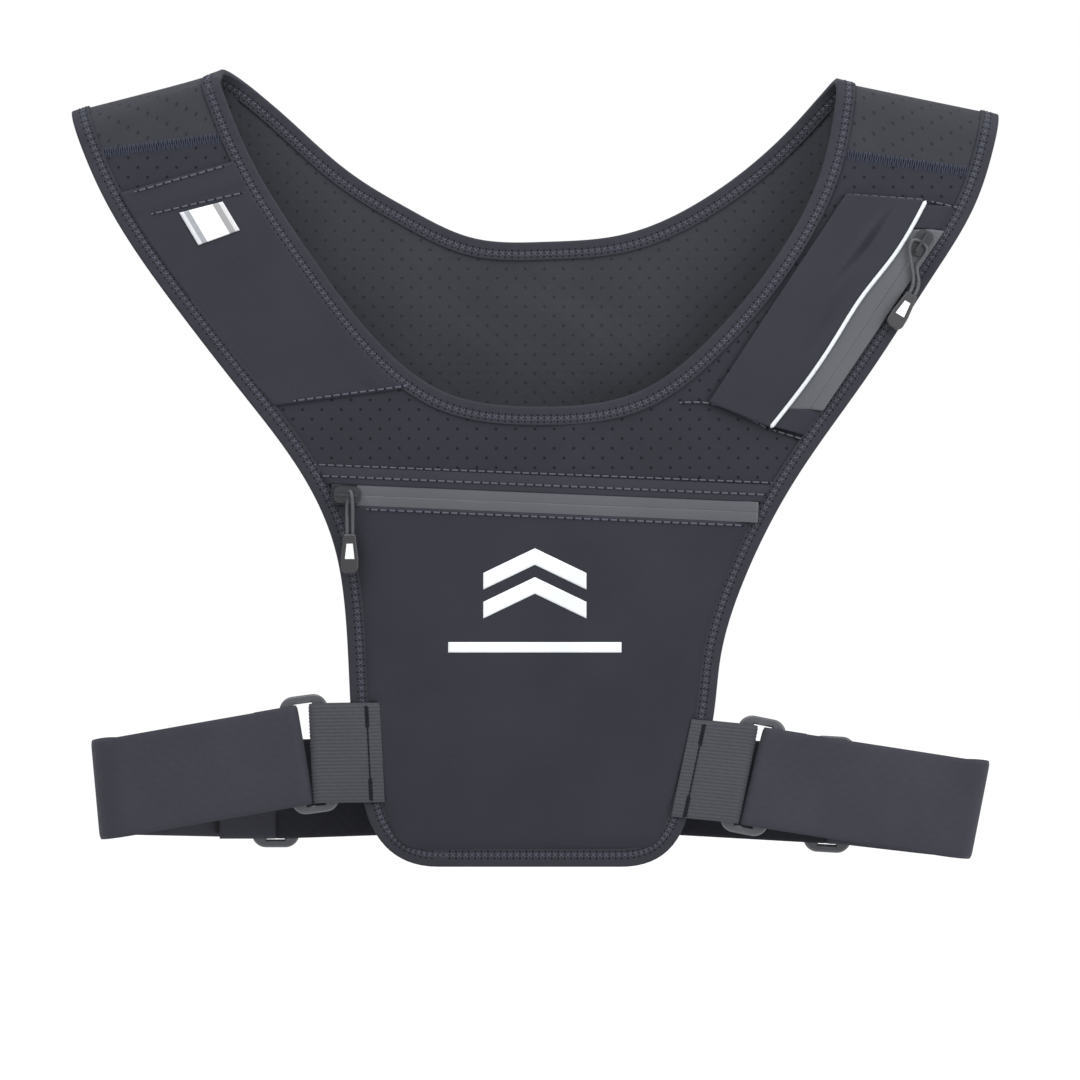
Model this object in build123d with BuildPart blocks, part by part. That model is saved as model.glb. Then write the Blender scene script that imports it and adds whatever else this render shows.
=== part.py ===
from build123d import *
import os
from math import atan2, cos, degrees, dist, pi, radians, sin, tan

os.makedirs("parts", exist_ok=True)

# A chest vest with a zipped phone pocket, hanging closed and upright.
# X runs across the chest, -Y is the front, Z is up. "Left" and "right" are as seen from the front.
# The origin is where the shoulders would carry the vest, midway between the two straps.

# ------------------------------------------------------------------ driving dimensions, mm
shoulder_span = 452  # outer corner of one strap to outer corner of the other
hem_drop = 374  # from the shoulder rest down to the front hem
body_gap = 26  # between the front and back panels, closed and empty
neoprene = 2.5
binding_width = 8.3
binding_cloth = 0.75
seam_width = 5  # flatlock seam over each strap
seam_thread = 0.4

pocket_cloth = 1.0
pocket_room = 1.8  # depth inside an empty pocket
pocket_seam = 4  # sewn border of a pocket
lining_cloth = 0.3
print_film = 0.15

tape_width = 10  # both halves of a closed zip, as seen
tape_cloth = 0.6
zip_slit = 1.6
coil_width = 1.6
coil_height = 1.0
stop_length = 2
slider_length = 13
slider_width = 8
slider_plate = 1.2
slider_back_plate = 0.7
slider_back_length = 10
slider_back_width = 6.5
slider_neck_length = 4
slider_neck_width = 1.0
slider_gap = 0.2  # running gap between slider, tape and coil
bridge_bar = 1.2
bridge_reach = 4.3  # from the slider's middle to the inside of each post
cord_diameter = 1.8
tip_length = 19
tip_width = 8.6
tip_neck = 5.8
tip_thickness = 4.2

webbing_width = 48.5
webbing_thickness = 1.5
elastic_width = 48.5
elastic_thickness = 1.6
ring_width = 23.6
ring_thickness = 2.6
ring_bar = 7.4
ring_end = 4.0
ring_side_gap = 0.5  # ring window to the edge of the wider band, each side
return_length = 18  # elastic turned back at the front ring
tail_length = 25  # elastic doubled back at the rear ring
hook_length = 17
hook_margin = 3
tab_margin = 0.3  # pocket edge to a tab sewn beside it
open_pivot_gap = 5  # the rear tab stops this far short of its ring

# ------------------------------------------------------------------ levels forward of the middle
panel_back = body_gap / 2
panel_front = panel_back + neoprene
ply_gap = neoprene + 2 * binding_cloth  # a webbing tab straddles panel and binding
ring_level = panel_back + neoprene / 2
ply_level = ring_level + ply_gap / 2
pocket_level = panel_front + pocket_room
pocket_face = pocket_level + pocket_cloth
tape_level = pocket_face - tape_cloth
coil_level = tape_level - coil_height
slider_level = pocket_face + slider_gap
plate_face = slider_level + slider_plate
loop_radius = bridge_bar * 0.75 + cord_diameter / 2  # cord centre to bar centre, clear of its corners
bar_level = plate_face + slider_gap + cord_diameter / 2 + loop_radius
bar_axis = ring_width / 2 - ring_bar + ring_thickness / 2  # ring centre to the pivot in each fold
reach = 700  # longer than the whole vest
strap_top = 120  # straps are drawn up to here, above every fold


# The pattern is drawn for one base size and graded to the span and drop above.
base_span = 452
base_drop = 374


def graded(points):
    """Pattern points moved from the base size to this size."""
    return [(x * shoulder_span / base_span, z * hem_drop / base_drop) for x, z in points]


left_arm_edge = graded(
    [(-241, 60), (-226, -6), (-209, -49), (-175, -101), (-141, -145), (-110, -188), (-97, -218)]
    + [(-91.5, -250), (-89, -294), (-83.5, -339), (-71, -374), (-58, -400)]
)
right_arm_edge = graded(
    [(242, 60), (226, -8), (213.5, -52), (193, -87), (161, -136), (125.5, -187), (101, -235)]
    + [(89.5, -273), (86, -302), (76.5, -339), (66, -374), (57, -400)]
)
front_neckline = graded(
    [(-154.5, 8), (-142, -24), (-108, -80), (-76, -121), (-45, -144.5), (2, -152), (52, -144)]
    + [(86, -118), (118, -79), (141, -33), (148, 6)]
)
back_neckline = graded(
    [(-153, 17), (-124, -7), (-92, -35), (-61, -54), (-31, -67.5), (5, -69.5), (43, -66)]
    + [(85, -47.5), (127, -13), (148, 11)]
)
hem_corner = 22
edge_steps = 24  # points that carry an edge over to its bindings

left_fold = graded([(-226, -6.4), (-158, 16.7)])
right_fold = graded([(150, 12.3), (226, -7.8)])
left_seam = graded([(-208, -28), (-153, -21)])
right_seam = graded([(155, -29.5), (208, -37)])

main_zip = graded([(-95, -194), (105, -202.5)])
shoulder_zip = graded([(189.5, -68.5), (135.7, -149.4)])
slip_pocket_mouth = graded([(-197, -46.5), (-150, -33.3)])
slip_pocket_foot = graded([(-123.5, -150.5), (-59, -142)])
zip_pocket_top = graded([(150.9, -47.5), (191.6, -50.5)])
zip_pocket_neck_side = graded([(150.9, -48.5), (84.3, -149)])
zip_pocket_foot = graded([(84.3, -149.5), (114.2, -161.7), (131, -167)])
piping_line = graded(
    [(189.6, -51.4), (174.9, -77), (158.3, -98.5), (146, -118), (132.8, -137.7), (114.2, -161.7)]
)
print_centre = graded([(0, -246)])[0]
tag_corners = graded([(-172.5, -57.3), (-151.4, -51.9), (-143.1, -65.7), (-163.2, -73)])

# ring centre, sewn end of the tab and the lean of both, degrees from upright towards +X
left_front = graded([(-109.5, -320), (-74, -319)]) + [-7.7, -3]
right_front = graded([(106, -330.5), (71, -326.5)]) + [11.3, 11.9]
left_rear = graded([(-128, -339), (-66, -337)]) + [0, 0]
right_rear = graded([(145.5, -341.5), (66, -337)]) + [3.3, 2]
left_turn = graded([(-197.6, -338.3)]) + [-5.2]
right_turn = graded([(200.6, -344.5)]) + [11.1]


def front(level):
    """Plane that faces the viewer, this far forward of the middle of the vest."""
    return Plane.XZ.offset(level)


def along(lean):
    """Unit step up an axis that leans towards +X by this many degrees, in the front view."""
    return Vector(sin(radians(lean)), cos(radians(lean)))


def outward(lean, side):
    """Unit step away from the body, square to that axis. Side is -1 on the left, 1 on the right."""
    return Vector(side * cos(radians(lean)), -side * sin(radians(lean)))


def strip(line, low, high, overrun=reach):
    """Straight strip along a line, from low to high on its left-hand side, past both ends."""
    (x0, z0), (x1, z1) = line
    middle = Location(((x0 + x1) / 2, (z0 + z1) / 2), degrees(atan2(z1 - z0, x1 - x0)))
    with BuildSketch() as result:
        with Locations(middle):
            with Locations((0, (low + high) / 2)):
                Rectangle(dist(*line) + 2 * overrun, high - low)
    return result.sketch


def beside(points, amount):
    """The smooth edge through these points, moved to its left-hand side."""
    edge = Edge.make_spline([Vector(*point) for point in points])
    shares = [step / edge_steps for step in range(edge_steps + 1)]
    square = Vector(0, 0, 1)
    return [edge.position_at(t) + square.cross(edge.tangent_at(t)) * amount for t in shares]


def silhouette(margin):
    """Both panels' outline in from its arm edges and hem by this much, straps running on upwards."""
    left, right = beside(left_arm_edge, margin), beside(right_arm_edge, -margin)
    with BuildSketch() as result:
        with BuildLine():
            Spline(*left)
            Line(left[-1], right[-1])
            Spline(*reversed(right))
            Polyline(right[0], (right[0].X, strap_top), (left[0].X, strap_top), left[0])
        make_face()
        with Locations((0, margin - hem_drop)):
            Rectangle(2 * reach, 2 * reach, align=(Align.CENTER, Align.MIN), mode=Mode.INTERSECT)
        fillet(result.vertices().group_by(Axis.Y)[0], hem_corner - margin)
    return result.sketch


def neck_hole(edge, margin):
    """Everything above a neckline, between the straps, grown by this much."""
    rim = beside(edge, -margin)
    with BuildSketch() as result:
        with BuildLine():
            Spline(*rim)
            Polyline(rim[-1], (rim[-1].X, strap_top), (rim[0].X, strap_top), rim[0])
        make_face()
    return result.sketch


def draped(inner, outer):
    """Sheet that hangs over both shoulder folds, flat in front and behind."""
    halves = []
    for fold, keep in ((left_fold, Keep.BOTTOM), (right_fold, Keep.TOP)):
        slope = atan2(fold[1][1] - fold[0][1], fold[1][0] - fold[0][0])
        up = Vector(-sin(slope), 0, cos(slope))
        crown = Vector(fold[0][0], 0, fold[0][1])
        with BuildPart() as half:
            across = Vector(-cos(slope), 0, -sin(slope))
            with BuildSketch(Plane(crown - up * panel_front, x_dir=(0, -1, 0), z_dir=across)):
                Circle(outer)
                Rectangle(2 * outer, reach, align=(Align.CENTER, Align.MAX))
                Circle(inner, mode=Mode.SUBTRACT)
                Rectangle(2 * inner, reach, align=(Align.CENTER, Align.MAX), mode=Mode.SUBTRACT)
            extrude(amount=reach, both=True)
            split(bisect_by=Plane.YZ, keep=keep)
        halves.append(half.part)
    return halves[0] + halves[1]


def tab_outline(place, side, short, margin):
    """Front view of a tab, from beyond its fold to its sewn end, grown by a margin."""
    centre, sewn, lean, sewn_lean = place
    step, half = outward(lean, side), webbing_width / 2 + margin
    pivot = Vector(*centre) - step * (bar_axis + short)
    beyond = pivot + step * ring_width
    end = Vector(*sewn) - outward(sewn_lean, side) * margin
    with BuildSketch() as result:
        with BuildLine():
            Polyline(
                beyond + along(lean) * half,
                pivot + along(lean) * half,
                end + along(sewn_lean) * half,
                end - along(sewn_lean) * half,
                pivot - along(lean) * half,
                beyond - along(lean) * half,
                close=True,
            )
        make_face()
    return result.sketch


# ------------------------------------------------------------------ outlines in the front view
outline = silhouette(0)
front_neck = neck_hole(front_neckline, 0)
back_neck = neck_hole(back_neckline, 0)
above_seams = strip(left_seam, 0, reach) + strip(right_seam, 0, reach)


def front_inside(margin):
    """The front in from its edges by this much."""
    with BuildSketch() as result:
        add(silhouette(margin))
        add(neck_hole(front_neckline, margin), mode=Mode.SUBTRACT)
    return result.sketch


field = front_inside(binding_width)
pocket_inside = front_inside(binding_width + pocket_seam)
under_tabs = tab_outline(left_front, -1, 0, tab_margin) + tab_outline(right_front, 1, 0, tab_margin)
pocket_under_tabs = tab_outline(left_front, -1, 0, tab_margin + pocket_seam)
pocket_under_tabs += tab_outline(right_front, 1, 0, tab_margin + pocket_seam)
with BuildSketch() as left_half:
    Rectangle(reach, 2 * reach, align=(Align.MAX, Align.CENTER))

# ------------------------------------------------------------------ neoprene body
with BuildPart() as front_panel:
    with BuildSketch(front(panel_back)):
        add(outline)
        add(front_neck, mode=Mode.SUBTRACT)
        add(above_seams, mode=Mode.SUBTRACT)
    extrude(amount=neoprene)

with BuildPart() as back_panel:
    with BuildSketch(Plane.XZ):
        add(outline)
        add(back_neck, mode=Mode.SUBTRACT)
    extrude(amount=-2 * panel_front)
    with BuildSketch(Plane.XZ):
        add(outline)
        add(front_neck, mode=Mode.SUBTRACT)
        add(above_seams, mode=Mode.INTERSECT)
    extrude(amount=2 * panel_front)
    add(draped(panel_back, panel_front), mode=Mode.INTERSECT)

binding_sheet = draped(panel_back - binding_cloth, panel_front + binding_cloth)

with BuildPart() as outer_binding:
    with BuildSketch(Plane.XZ):
        add(silhouette(-binding_cloth))
        add(silhouette(binding_width), mode=Mode.SUBTRACT)
    extrude(amount=2 * panel_front, both=True)
    add(binding_sheet, mode=Mode.INTERSECT)
    add([front_panel.part, back_panel.part], mode=Mode.SUBTRACT)

with BuildPart() as neck_binding:
    for neckline, depth in ((front_neckline, 2 * panel_front), (back_neckline, -2 * panel_front)):
        with BuildSketch(Plane.XZ):
            add(neck_hole(neckline, binding_width))
            add(neck_hole(neckline, -binding_cloth), mode=Mode.SUBTRACT)
        extrude(amount=depth)
    add(binding_sheet, mode=Mode.INTERSECT)
    add([front_panel.part, back_panel.part], mode=Mode.SUBTRACT)

shoulder_seams = {}
for name, line, mode in (
    ("left_shoulder_seam", left_seam, Mode.INTERSECT),
    ("right_shoulder_seam", right_seam, Mode.SUBTRACT),
):
    with BuildPart() as seam:
        with BuildSketch(front(panel_front)):
            add(field)
            add(strip(line, -seam_width / 2, seam_width / 2), mode=Mode.INTERSECT)
            add(left_half.sketch, mode=mode)
        extrude(amount=seam_thread)
    shoulder_seams[name] = seam

# ------------------------------------------------------------------ phone pocket and its zip
with BuildPart() as main_pocket_panel:
    with BuildSketch(front(panel_front)):
        add(field)
        add(strip(main_zip, -tape_width / 2, reach), mode=Mode.SUBTRACT)
        add(under_tabs, mode=Mode.SUBTRACT)
    extrude(amount=pocket_room + pocket_cloth)
    with BuildSketch(front(panel_front)):
        add(pocket_inside)
        add(strip(main_zip, -tape_width / 2, reach), mode=Mode.SUBTRACT)
        add(pocket_under_tabs, mode=Mode.SUBTRACT)
    extrude(amount=pocket_room, mode=Mode.SUBTRACT)

with BuildPart() as main_pocket_lining:
    with BuildSketch(front(panel_front)):
        add(pocket_inside)
        add(strip(main_zip, -tape_width / 2, reach), mode=Mode.SUBTRACT)
        add(pocket_under_tabs, mode=Mode.SUBTRACT)
    extrude(amount=lining_cloth)

welt_width = 9
with BuildPart() as main_zip_welt:
    with BuildSketch(front(panel_front)):
        add(field)
        add(strip(main_zip, tape_width / 2, tape_width / 2 + welt_width), mode=Mode.INTERSECT)
    extrude(amount=pocket_room + pocket_cloth)

chevron_arm = 25
chevron_rise = 12
chevron_width = 8
chevron_pitch = 14
bar_length = 84
bar_width = 5
with BuildPart() as reflective_print:
    with BuildSketch(front(pocket_face)):
        for step in (0, 1):
            x, z = print_centre[0], print_centre[1] + step * chevron_pitch
            with BuildLine():
                Polyline(
                    (x - chevron_arm, z),
                    (x, z + chevron_rise),
                    (x + chevron_arm, z),
                    (x + chevron_arm, z - chevron_width),
                    (x, z + chevron_rise - chevron_width),
                    (x - chevron_arm, z - chevron_width),
                    close=True,
                )
            make_face()
        with Locations((print_centre[0], print_centre[1] - chevron_width - chevron_pitch)):
            SlotOverall(bar_length, bar_width)
    extrude(amount=print_film)

# ------------------------------------------------------------------ left strap: open pocket and tag
with BuildPart() as slip_pocket_panel:
    with BuildSketch(front(panel_front)):
        add(field)
        add(strip(slip_pocket_mouth, 0, reach), mode=Mode.SUBTRACT)
        add(strip(slip_pocket_foot, -reach, 0), mode=Mode.SUBTRACT)
        add(left_half.sketch, mode=Mode.INTERSECT)
    extrude(amount=pocket_cloth)

tag_cloth = 0.5
with BuildPart() as reflective_tag:
    with BuildSketch(front(panel_front + pocket_cloth)):
        with BuildLine():
            Polyline(*tag_corners, close=True)
        make_face()
    extrude(amount=tag_cloth)

# ------------------------------------------------------------------ right strap: zipped pocket
zip_reversed = [shoulder_zip[1], shoulder_zip[0]]  # so that its left-hand side is the neck side
zip_end_margin = 3  # tape seen past each end of the coil
piping_width = 2.1
piping_height = 0.6

with BuildSketch() as zip_window:
    add(strip(zip_reversed, -tape_width / 2, tape_width / 2, zip_end_margin))

with BuildSketch() as strap_pocket:  # whole smooth area of the strap pocket
    with BuildLine():
        Polyline(
            zip_pocket_top[0],
            zip_pocket_neck_side[1],
            *zip_pocket_foot,
            (reach, zip_pocket_foot[-1][1]),
            (reach, zip_pocket_top[1][1]),
            zip_pocket_top[1],
            close=True,
        )
    make_face()
    add(field, mode=Mode.INTERSECT)

with BuildSketch() as piping_band:
    with BuildLine():
        Spline(*piping_line)
    trace(line_width=piping_width)
    add(strap_pocket.sketch, mode=Mode.INTERSECT)

with BuildSketch() as neck_side:  # everything on the neck side of the piping
    with BuildLine():
        Spline(*piping_line)
        low, high = piping_line[-1], piping_line[0]
        Polyline(low, (0, low[1]), (0, reach), (high[0], reach), high)
    make_face()

with BuildPart() as zip_pocket_panel:
    with BuildSketch(front(panel_front)):
        add(strap_pocket.sketch)
        add(neck_side.sketch, mode=Mode.INTERSECT)
        add(piping_band.sketch, mode=Mode.SUBTRACT)
        add(zip_window.sketch, mode=Mode.SUBTRACT)
    extrude(amount=pocket_room + pocket_cloth)

with BuildPart() as zip_pocket_facing:
    with BuildSketch(front(panel_front)):
        add(strap_pocket.sketch)
        add(neck_side.sketch, mode=Mode.SUBTRACT)
        add(piping_band.sketch, mode=Mode.SUBTRACT)
        add(zip_window.sketch, mode=Mode.SUBTRACT)
    extrude(amount=pocket_room + pocket_cloth)

with BuildPart() as zip_pocket_piping:
    with BuildSketch(front(panel_front)):
        add(piping_band.sketch)
        add(zip_window.sketch, mode=Mode.SUBTRACT)
    extrude(amount=pocket_room + pocket_cloth + piping_height)


# ------------------------------------------------------------------ zips
def zip_parts(line, area, overrun):
    """Upper and lower tape, coil chains and stops of one zip, as four parts."""
    half_slit, half_tape = zip_slit / 2, tape_width / 2
    tapes = []
    for side in (1, -1):
        with BuildPart() as tape:
            with BuildSketch(front(tape_level)):
                low, high = sorted((side * half_slit, side * half_tape))
                add(strip(line, low, high, overrun))
                add(area, mode=Mode.INTERSECT)
            extrude(amount=tape_cloth)
        tapes.append(tape)
    with BuildPart() as coil:
        with BuildSketch(front(coil_level)):
            add(strip(line, -half_slit - coil_width, half_slit + coil_width, -stop_length))
            add(strip(line, -half_slit, half_slit), mode=Mode.SUBTRACT)
        extrude(amount=coil_height)
    with BuildPart() as stops:
        with BuildSketch(front(coil_level)):
            add(strip(line, -half_slit - coil_width, half_slit + coil_width, 0))
            add(strip(line, -reach, reach, -stop_length), mode=Mode.SUBTRACT)
        extrude(amount=coil_height)
    return tapes[0], tapes[1], coil, stops


main_tape_area = field
shoulder_tape_area = strap_pocket.sketch
main_zip_upper_tape, main_zip_lower_tape, main_zip_coil, main_zip_stops = zip_parts(
    main_zip, main_tape_area, reach
)
shoulder_zip_inner_tape, shoulder_zip_outer_tape, shoulder_zip_coil, shoulder_zip_stops = zip_parts(
    zip_reversed, shoulder_tape_area, zip_end_margin
)


def slider_place(line):
    """Where a slider rests: its middle and its direction of travel, in the front view."""
    start, end = Vector(*line[0]), Vector(*line[1])
    step = (end - start).normalized()
    middle = start + step * (stop_length + slider_gap + slider_neck_length / 2)
    return middle, step


def on_zip(line, level):
    """Plane at the slider, X along its travel, facing the viewer."""
    middle, step = slider_place(line)
    origin = Vector(middle.X, -level, middle.Y)
    return Plane(origin, x_dir=Vector(step.X, 0, step.Y), z_dir=(0, -1, 0))


def zip_slider(line):
    """Slider: back plate, neck through the slit, front plate and the bridge for the cord."""
    post = bridge_reach + bridge_bar / 2
    with BuildPart() as slider:
        with BuildSketch(on_zip(line, coil_level - slider_gap - slider_back_plate)):
            SlotOverall(slider_back_length, slider_back_width)
        extrude(amount=slider_back_plate)
        with BuildSketch(on_zip(line, coil_level - slider_gap)):
            Rectangle(slider_neck_length, slider_neck_width)
        extrude(amount=slider_level - coil_level + slider_gap)
        with BuildSketch(on_zip(line, slider_level)):
            RectangleRounded(slider_length, slider_width, slider_width / 3)
        extrude(amount=slider_plate)
        with BuildSketch(on_zip(line, plate_face)):
            with Locations((-post, 0), (post, 0)):
                Rectangle(bridge_bar, bridge_bar)
        extrude(amount=bar_level - plate_face)
        with BuildSketch(on_zip(line, bar_level - bridge_bar / 2)):
            Rectangle(2 * post + bridge_bar, bridge_bar)
        extrude(amount=bridge_bar)
    return slider


main_slider = zip_slider(main_zip)
shoulder_slider = zip_slider(shoulder_zip)


# ------------------------------------------------------------------ zip pulls
def cord_tube(name, points, end_way):
    """Round cord through hand-placed points, its corners as round as their runs allow."""
    turns = []
    for before, here, after in zip(points, points[1:], points[2:]):
        run_in, run_out = Vector(*here) - Vector(*before), Vector(*after) - Vector(*here)
        half_turn = radians(run_in.get_angle(run_out) / 2)
        turns.append(0.45 * min(run_in.length, run_out.length) / tan(half_turn))
    with BuildPart() as cord:
        with BuildLine() as path:
            FilletPolyline(*points, radius=turns)
        with BuildSketch(Plane(points[0], z_dir=end_way)):
            Circle(cord_diameter / 2)
        sweep()
    length = path.wires()[0].length
    ideal = length * pi * cord_diameter**2 / 4
    print(name, "length", round(length, 1), "radii", [round(r, 1) for r in turns])
    print(name, "volume over section times length", round(cord.part.volume / ideal, 4))
    return cord


def pull_tip(top, way):
    """Moulded tip: a tapering paddle that hangs along `way` from the middle of its top face."""
    side = Vector(way[2], 0, -way[0])
    plane = Plane(Vector(*top) + Vector(0, tip_thickness / 2, 0), x_dir=-side, z_dir=(0, -1, 0))
    with BuildPart() as tip:
        with BuildSketch(plane) as paddle:
            with BuildLine():
                Polyline(
                    (-tip_neck / 2, 0),
                    (tip_neck / 2, 0),
                    (tip_width / 2, -tip_length * 0.62),
                    (tip_width / 2, -tip_length),
                    (-tip_width / 2, -tip_length),
                    (-tip_width / 2, -tip_length * 0.62),
                    close=True,
                )
            make_face()
            fillet(paddle.vertices().sort_by(Axis.Y)[:2], tip_width * 0.38)
        extrude(amount=tip_thickness)
        fillet(tip.faces().filter_by(Axis.Y).edges(), 0.8)
    mark_plane = plane.offset(tip_thickness)
    with BuildPart() as mark:
        with BuildSketch(mark_plane):
            with BuildLine():
                Polyline((-1.5, -4.6), (1.5, -4.6), (2.3, -12), (-2.3, -12), close=True)
            make_face()
        extrude(amount=print_film)
    return tip, mark


strand = 1.3  # each strand of a loop from the middle of the tip
lift = 0.2  # the tip hangs this far forward of its pivot, so that it rests flat
main_middle, main_step = slider_place(main_zip)
loop_offset = 1.4  # the loop sits towards the open end of the bridge
main_loop = [
    (-strand, -19, lift),
    (-strand, -13.5, lift),
    (-1.5, -6.2, -1.3),
    (-0.9, loop_radius, -loop_radius),
    (0.9, loop_radius, loop_radius),
    (1.5, -6.2, 1.5),
    (strand, -13.5, lift),
    (strand, -19, lift),
]
main_cord_route = [
    (main_middle.X + loop_offset + u, -bar_level - forward, main_middle.Y + v)
    for u, v, forward in main_loop
]
main_pull_cord = cord_tube("main_pull_cord", main_cord_route, (0, 0, 1))
main_tip_top = (main_middle.X + loop_offset, -bar_level - lift, main_middle.Y - 19)
main_pull_tip, main_pull_mark = pull_tip(main_tip_top, (0, 0, -1))

# The shoulder pull's loop lies flat: it passes under the bridge and hangs beside the slider.
shoulder_middle, shoulder_step = slider_place(shoulder_zip)
loop_level = plate_face + slider_gap + cord_diameter / 2
tip_lean = radians(31)  # the tip's way from straight down, towards -X
tip_way = (-sin(tip_lean), 0, -cos(tip_lean))
tip_side = (cos(tip_lean), 0, -sin(tip_lean))
shoulder_tip_offset = (-4.6, -25.0)
shoulder_tip_top = (
    shoulder_middle.X + shoulder_tip_offset[0],
    -loop_level - lift,
    shoulder_middle.Y + shoulder_tip_offset[1],
)


def beside_tip(sideways, back):
    """Point at the tip's top, this far sideways and back up the cord."""
    x, y, z = shoulder_tip_top
    beside_x = x + sideways * tip_side[0] - back * tip_way[0]
    return (beside_x, y, z + sideways * tip_side[2] - back * tip_way[2])


def on_loop(travel, across):
    """Point of the flat loop, from the slider's middle along its travel and to its neck side."""
    side = Vector(shoulder_step.Y, -shoulder_step.X)
    place = shoulder_middle + shoulder_step * travel + side * across
    return (place.X, -loop_level, place.Y)


shoulder_cord_route = [
    beside_tip(-strand, 0),
    beside_tip(-strand, 5),
    on_loop(9.5, 0.2),
    on_loop(4.5, 4.2),
    on_loop(0, 4.0),
    on_loop(0, -4.0),
    on_loop(4.8, -5.0),
    on_loop(11.5, -4.2),
    beside_tip(strand, 5.5),
    beside_tip(strand, 0),
]
shoulder_pull_cord = cord_tube("shoulder_pull_cord", shoulder_cord_route, [-c for c in tip_way])
shoulder_pull_tip, shoulder_pull_mark = pull_tip(shoulder_tip_top, tip_way)


# ------------------------------------------------------------------ webbing tabs

def turned_ply(centre, lean, way, side, length, thickness, width):
    """Strap folded round a ring bar: two plies `length` long that run along way * outward."""
    step, axis = outward(lean, side) * way, along(lean)
    inner, outer = ply_gap / 2, ply_gap / 2 + thickness
    normal = Vector(axis.X, 0, axis.Y)
    plane = Plane(
        Vector(centre[0], -centre[2], centre[1]), x_dir=Vector(step.X, 0, step.Y), z_dir=normal
    )
    with BuildPart() as ply:
        with BuildSketch(plane):
            Circle(outer)
            Rectangle(length, 2 * outer, align=(Align.MIN, Align.CENTER))
            Circle(inner, mode=Mode.SUBTRACT)
            Rectangle(length, 2 * inner, align=(Align.MIN, Align.CENTER), mode=Mode.SUBTRACT)
        extrude(amount=width / 2, both=True)
    return ply.part


def webbing_tab(place, side, level, short):
    """Tab folded round its ring's bar, both plies sewn over the panel's edge."""
    centre, sewn, lean = place[:3]
    pivot = Vector(*centre) - outward(lean, side) * (bar_axis + short)
    length = dist(centre, sewn) + ring_width
    blank = turned_ply(
        (pivot.X, pivot.Y, level), lean, -1, side, length, webbing_thickness, 2 * webbing_width
    )
    with BuildPart() as tab:
        add(blank)
        with BuildSketch(front(level - ply_gap - webbing_thickness)):
            add(tab_outline(place, side, short, 0))
        extrude(amount=2 * (ply_gap + webbing_thickness), mode=Mode.INTERSECT)
    return tab


left_front_tab = webbing_tab(left_front, -1, ring_level, 0)
right_front_tab = webbing_tab(right_front, 1, ring_level, 0)
open_pivot = ring_width / 2 + open_pivot_gap + ply_gap / 2 + webbing_thickness - bar_axis
left_rear_tab = webbing_tab(left_rear, -1, -ring_level, open_pivot)
right_rear_tab = webbing_tab(right_rear, 1, -ring_level, open_pivot)


# ------------------------------------------------------------------ strap rings
def strap_ring(place, level):
    """Flat moulded ring with two wide bars and rounded ends."""
    centre, lean = place[0], place[2]
    axis = along(lean)
    window = max(webbing_width, elastic_width) + 2 * ring_side_gap
    plane = Plane(
        Vector(centre[0], -level + ring_thickness / 2, centre[1]),
        x_dir=Vector(axis.Y, 0, -axis.X),
        z_dir=(0, -1, 0),
    )
    with BuildPart() as ring:
        with BuildSketch(plane):
            RectangleRounded(ring_width, window + 2 * ring_end, ring_width * 0.3)
            Rectangle(ring_width - 2 * ring_bar, window, mode=Mode.SUBTRACT)
        extrude(amount=ring_thickness)
        fillet(ring.faces().filter_by(Axis.Y).edges(), ring_thickness * 0.45)
    return ring


left_front_ring = strap_ring(left_front, ring_level)
right_front_ring = strap_ring(right_front, ring_level)
left_rear_ring = strap_ring(left_rear, -ring_level)
right_rear_ring = strap_ring(right_rear, -ring_level)


# ------------------------------------------------------------------ elastic side straps
def elastic_strap(front_place, rear_place, turn, side):
    """Strap from the front ring out to the side, round and back to the rear ring, and its hook patch."""
    half = elastic_width / 2
    turn_middle, turn_lean = Vector(*turn[0]), turn[1]
    turn_axis = along(turn_lean)
    with BuildPart() as strap:
        for place, level, turned in (
            (front_place, ring_level, return_length),
            (rear_place, -ring_level, tail_length),
        ):
            centre, lean = place[0], place[2]
            bar = Vector(*centre) + outward(lean, side) * bar_axis
            add(
                turned_ply(
                    (bar.X, bar.Y, level), lean, 1, side, turned, elastic_thickness, elastic_width
                )
            )
            ply = ply_level if level > 0 else -ply_level - elastic_thickness
            with BuildSketch(front(ply)):
                with BuildLine():
                    Polyline(
                        bar + along(lean) * half,
                        turn_middle + turn_axis * half,
                        turn_middle - turn_axis * half,
                        bar - along(lean) * half,
                        close=True,
                    )
                make_face()
            extrude(amount=elastic_thickness)
        out = outward(turn_lean, side)
        turn_plane = Plane(
            Vector(turn_middle.X, 0, turn_middle.Y),
            x_dir=Vector(out.X, 0, out.Y),
            z_dir=Vector(turn_axis.X, 0, turn_axis.Y),
        )
        with BuildSketch(turn_plane):
            Circle(ply_level + elastic_thickness)
            Circle(ply_level, mode=Mode.SUBTRACT)
            Rectangle(reach, reach, align=(Align.MIN, Align.CENTER), mode=Mode.INTERSECT)
        extrude(amount=half, both=True)
    lean = rear_place[2]
    start = Vector(*rear_place[0]) + outward(lean, side) * (bar_axis + tail_length - hook_length - 1)
    hook_plane = Plane(
        Vector(start.X, ring_level, start.Y),
        x_dir=Vector(outward(lean, side).X, 0, outward(lean, side).Y),
        z_dir=Vector(along(lean).X, 0, along(lean).Y),
    )
    with BuildPart() as patch:
        with BuildSketch(hook_plane):
            Rectangle(hook_length, ply_gap, align=(Align.MIN, Align.CENTER))
        extrude(amount=half - hook_margin, both=True)
    return strap, patch


left_elastic, left_hook_patch = elastic_strap(left_front, left_rear, left_turn, -1)
right_elastic, right_hook_patch = elastic_strap(right_front, right_rear, right_turn, 1)

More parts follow.
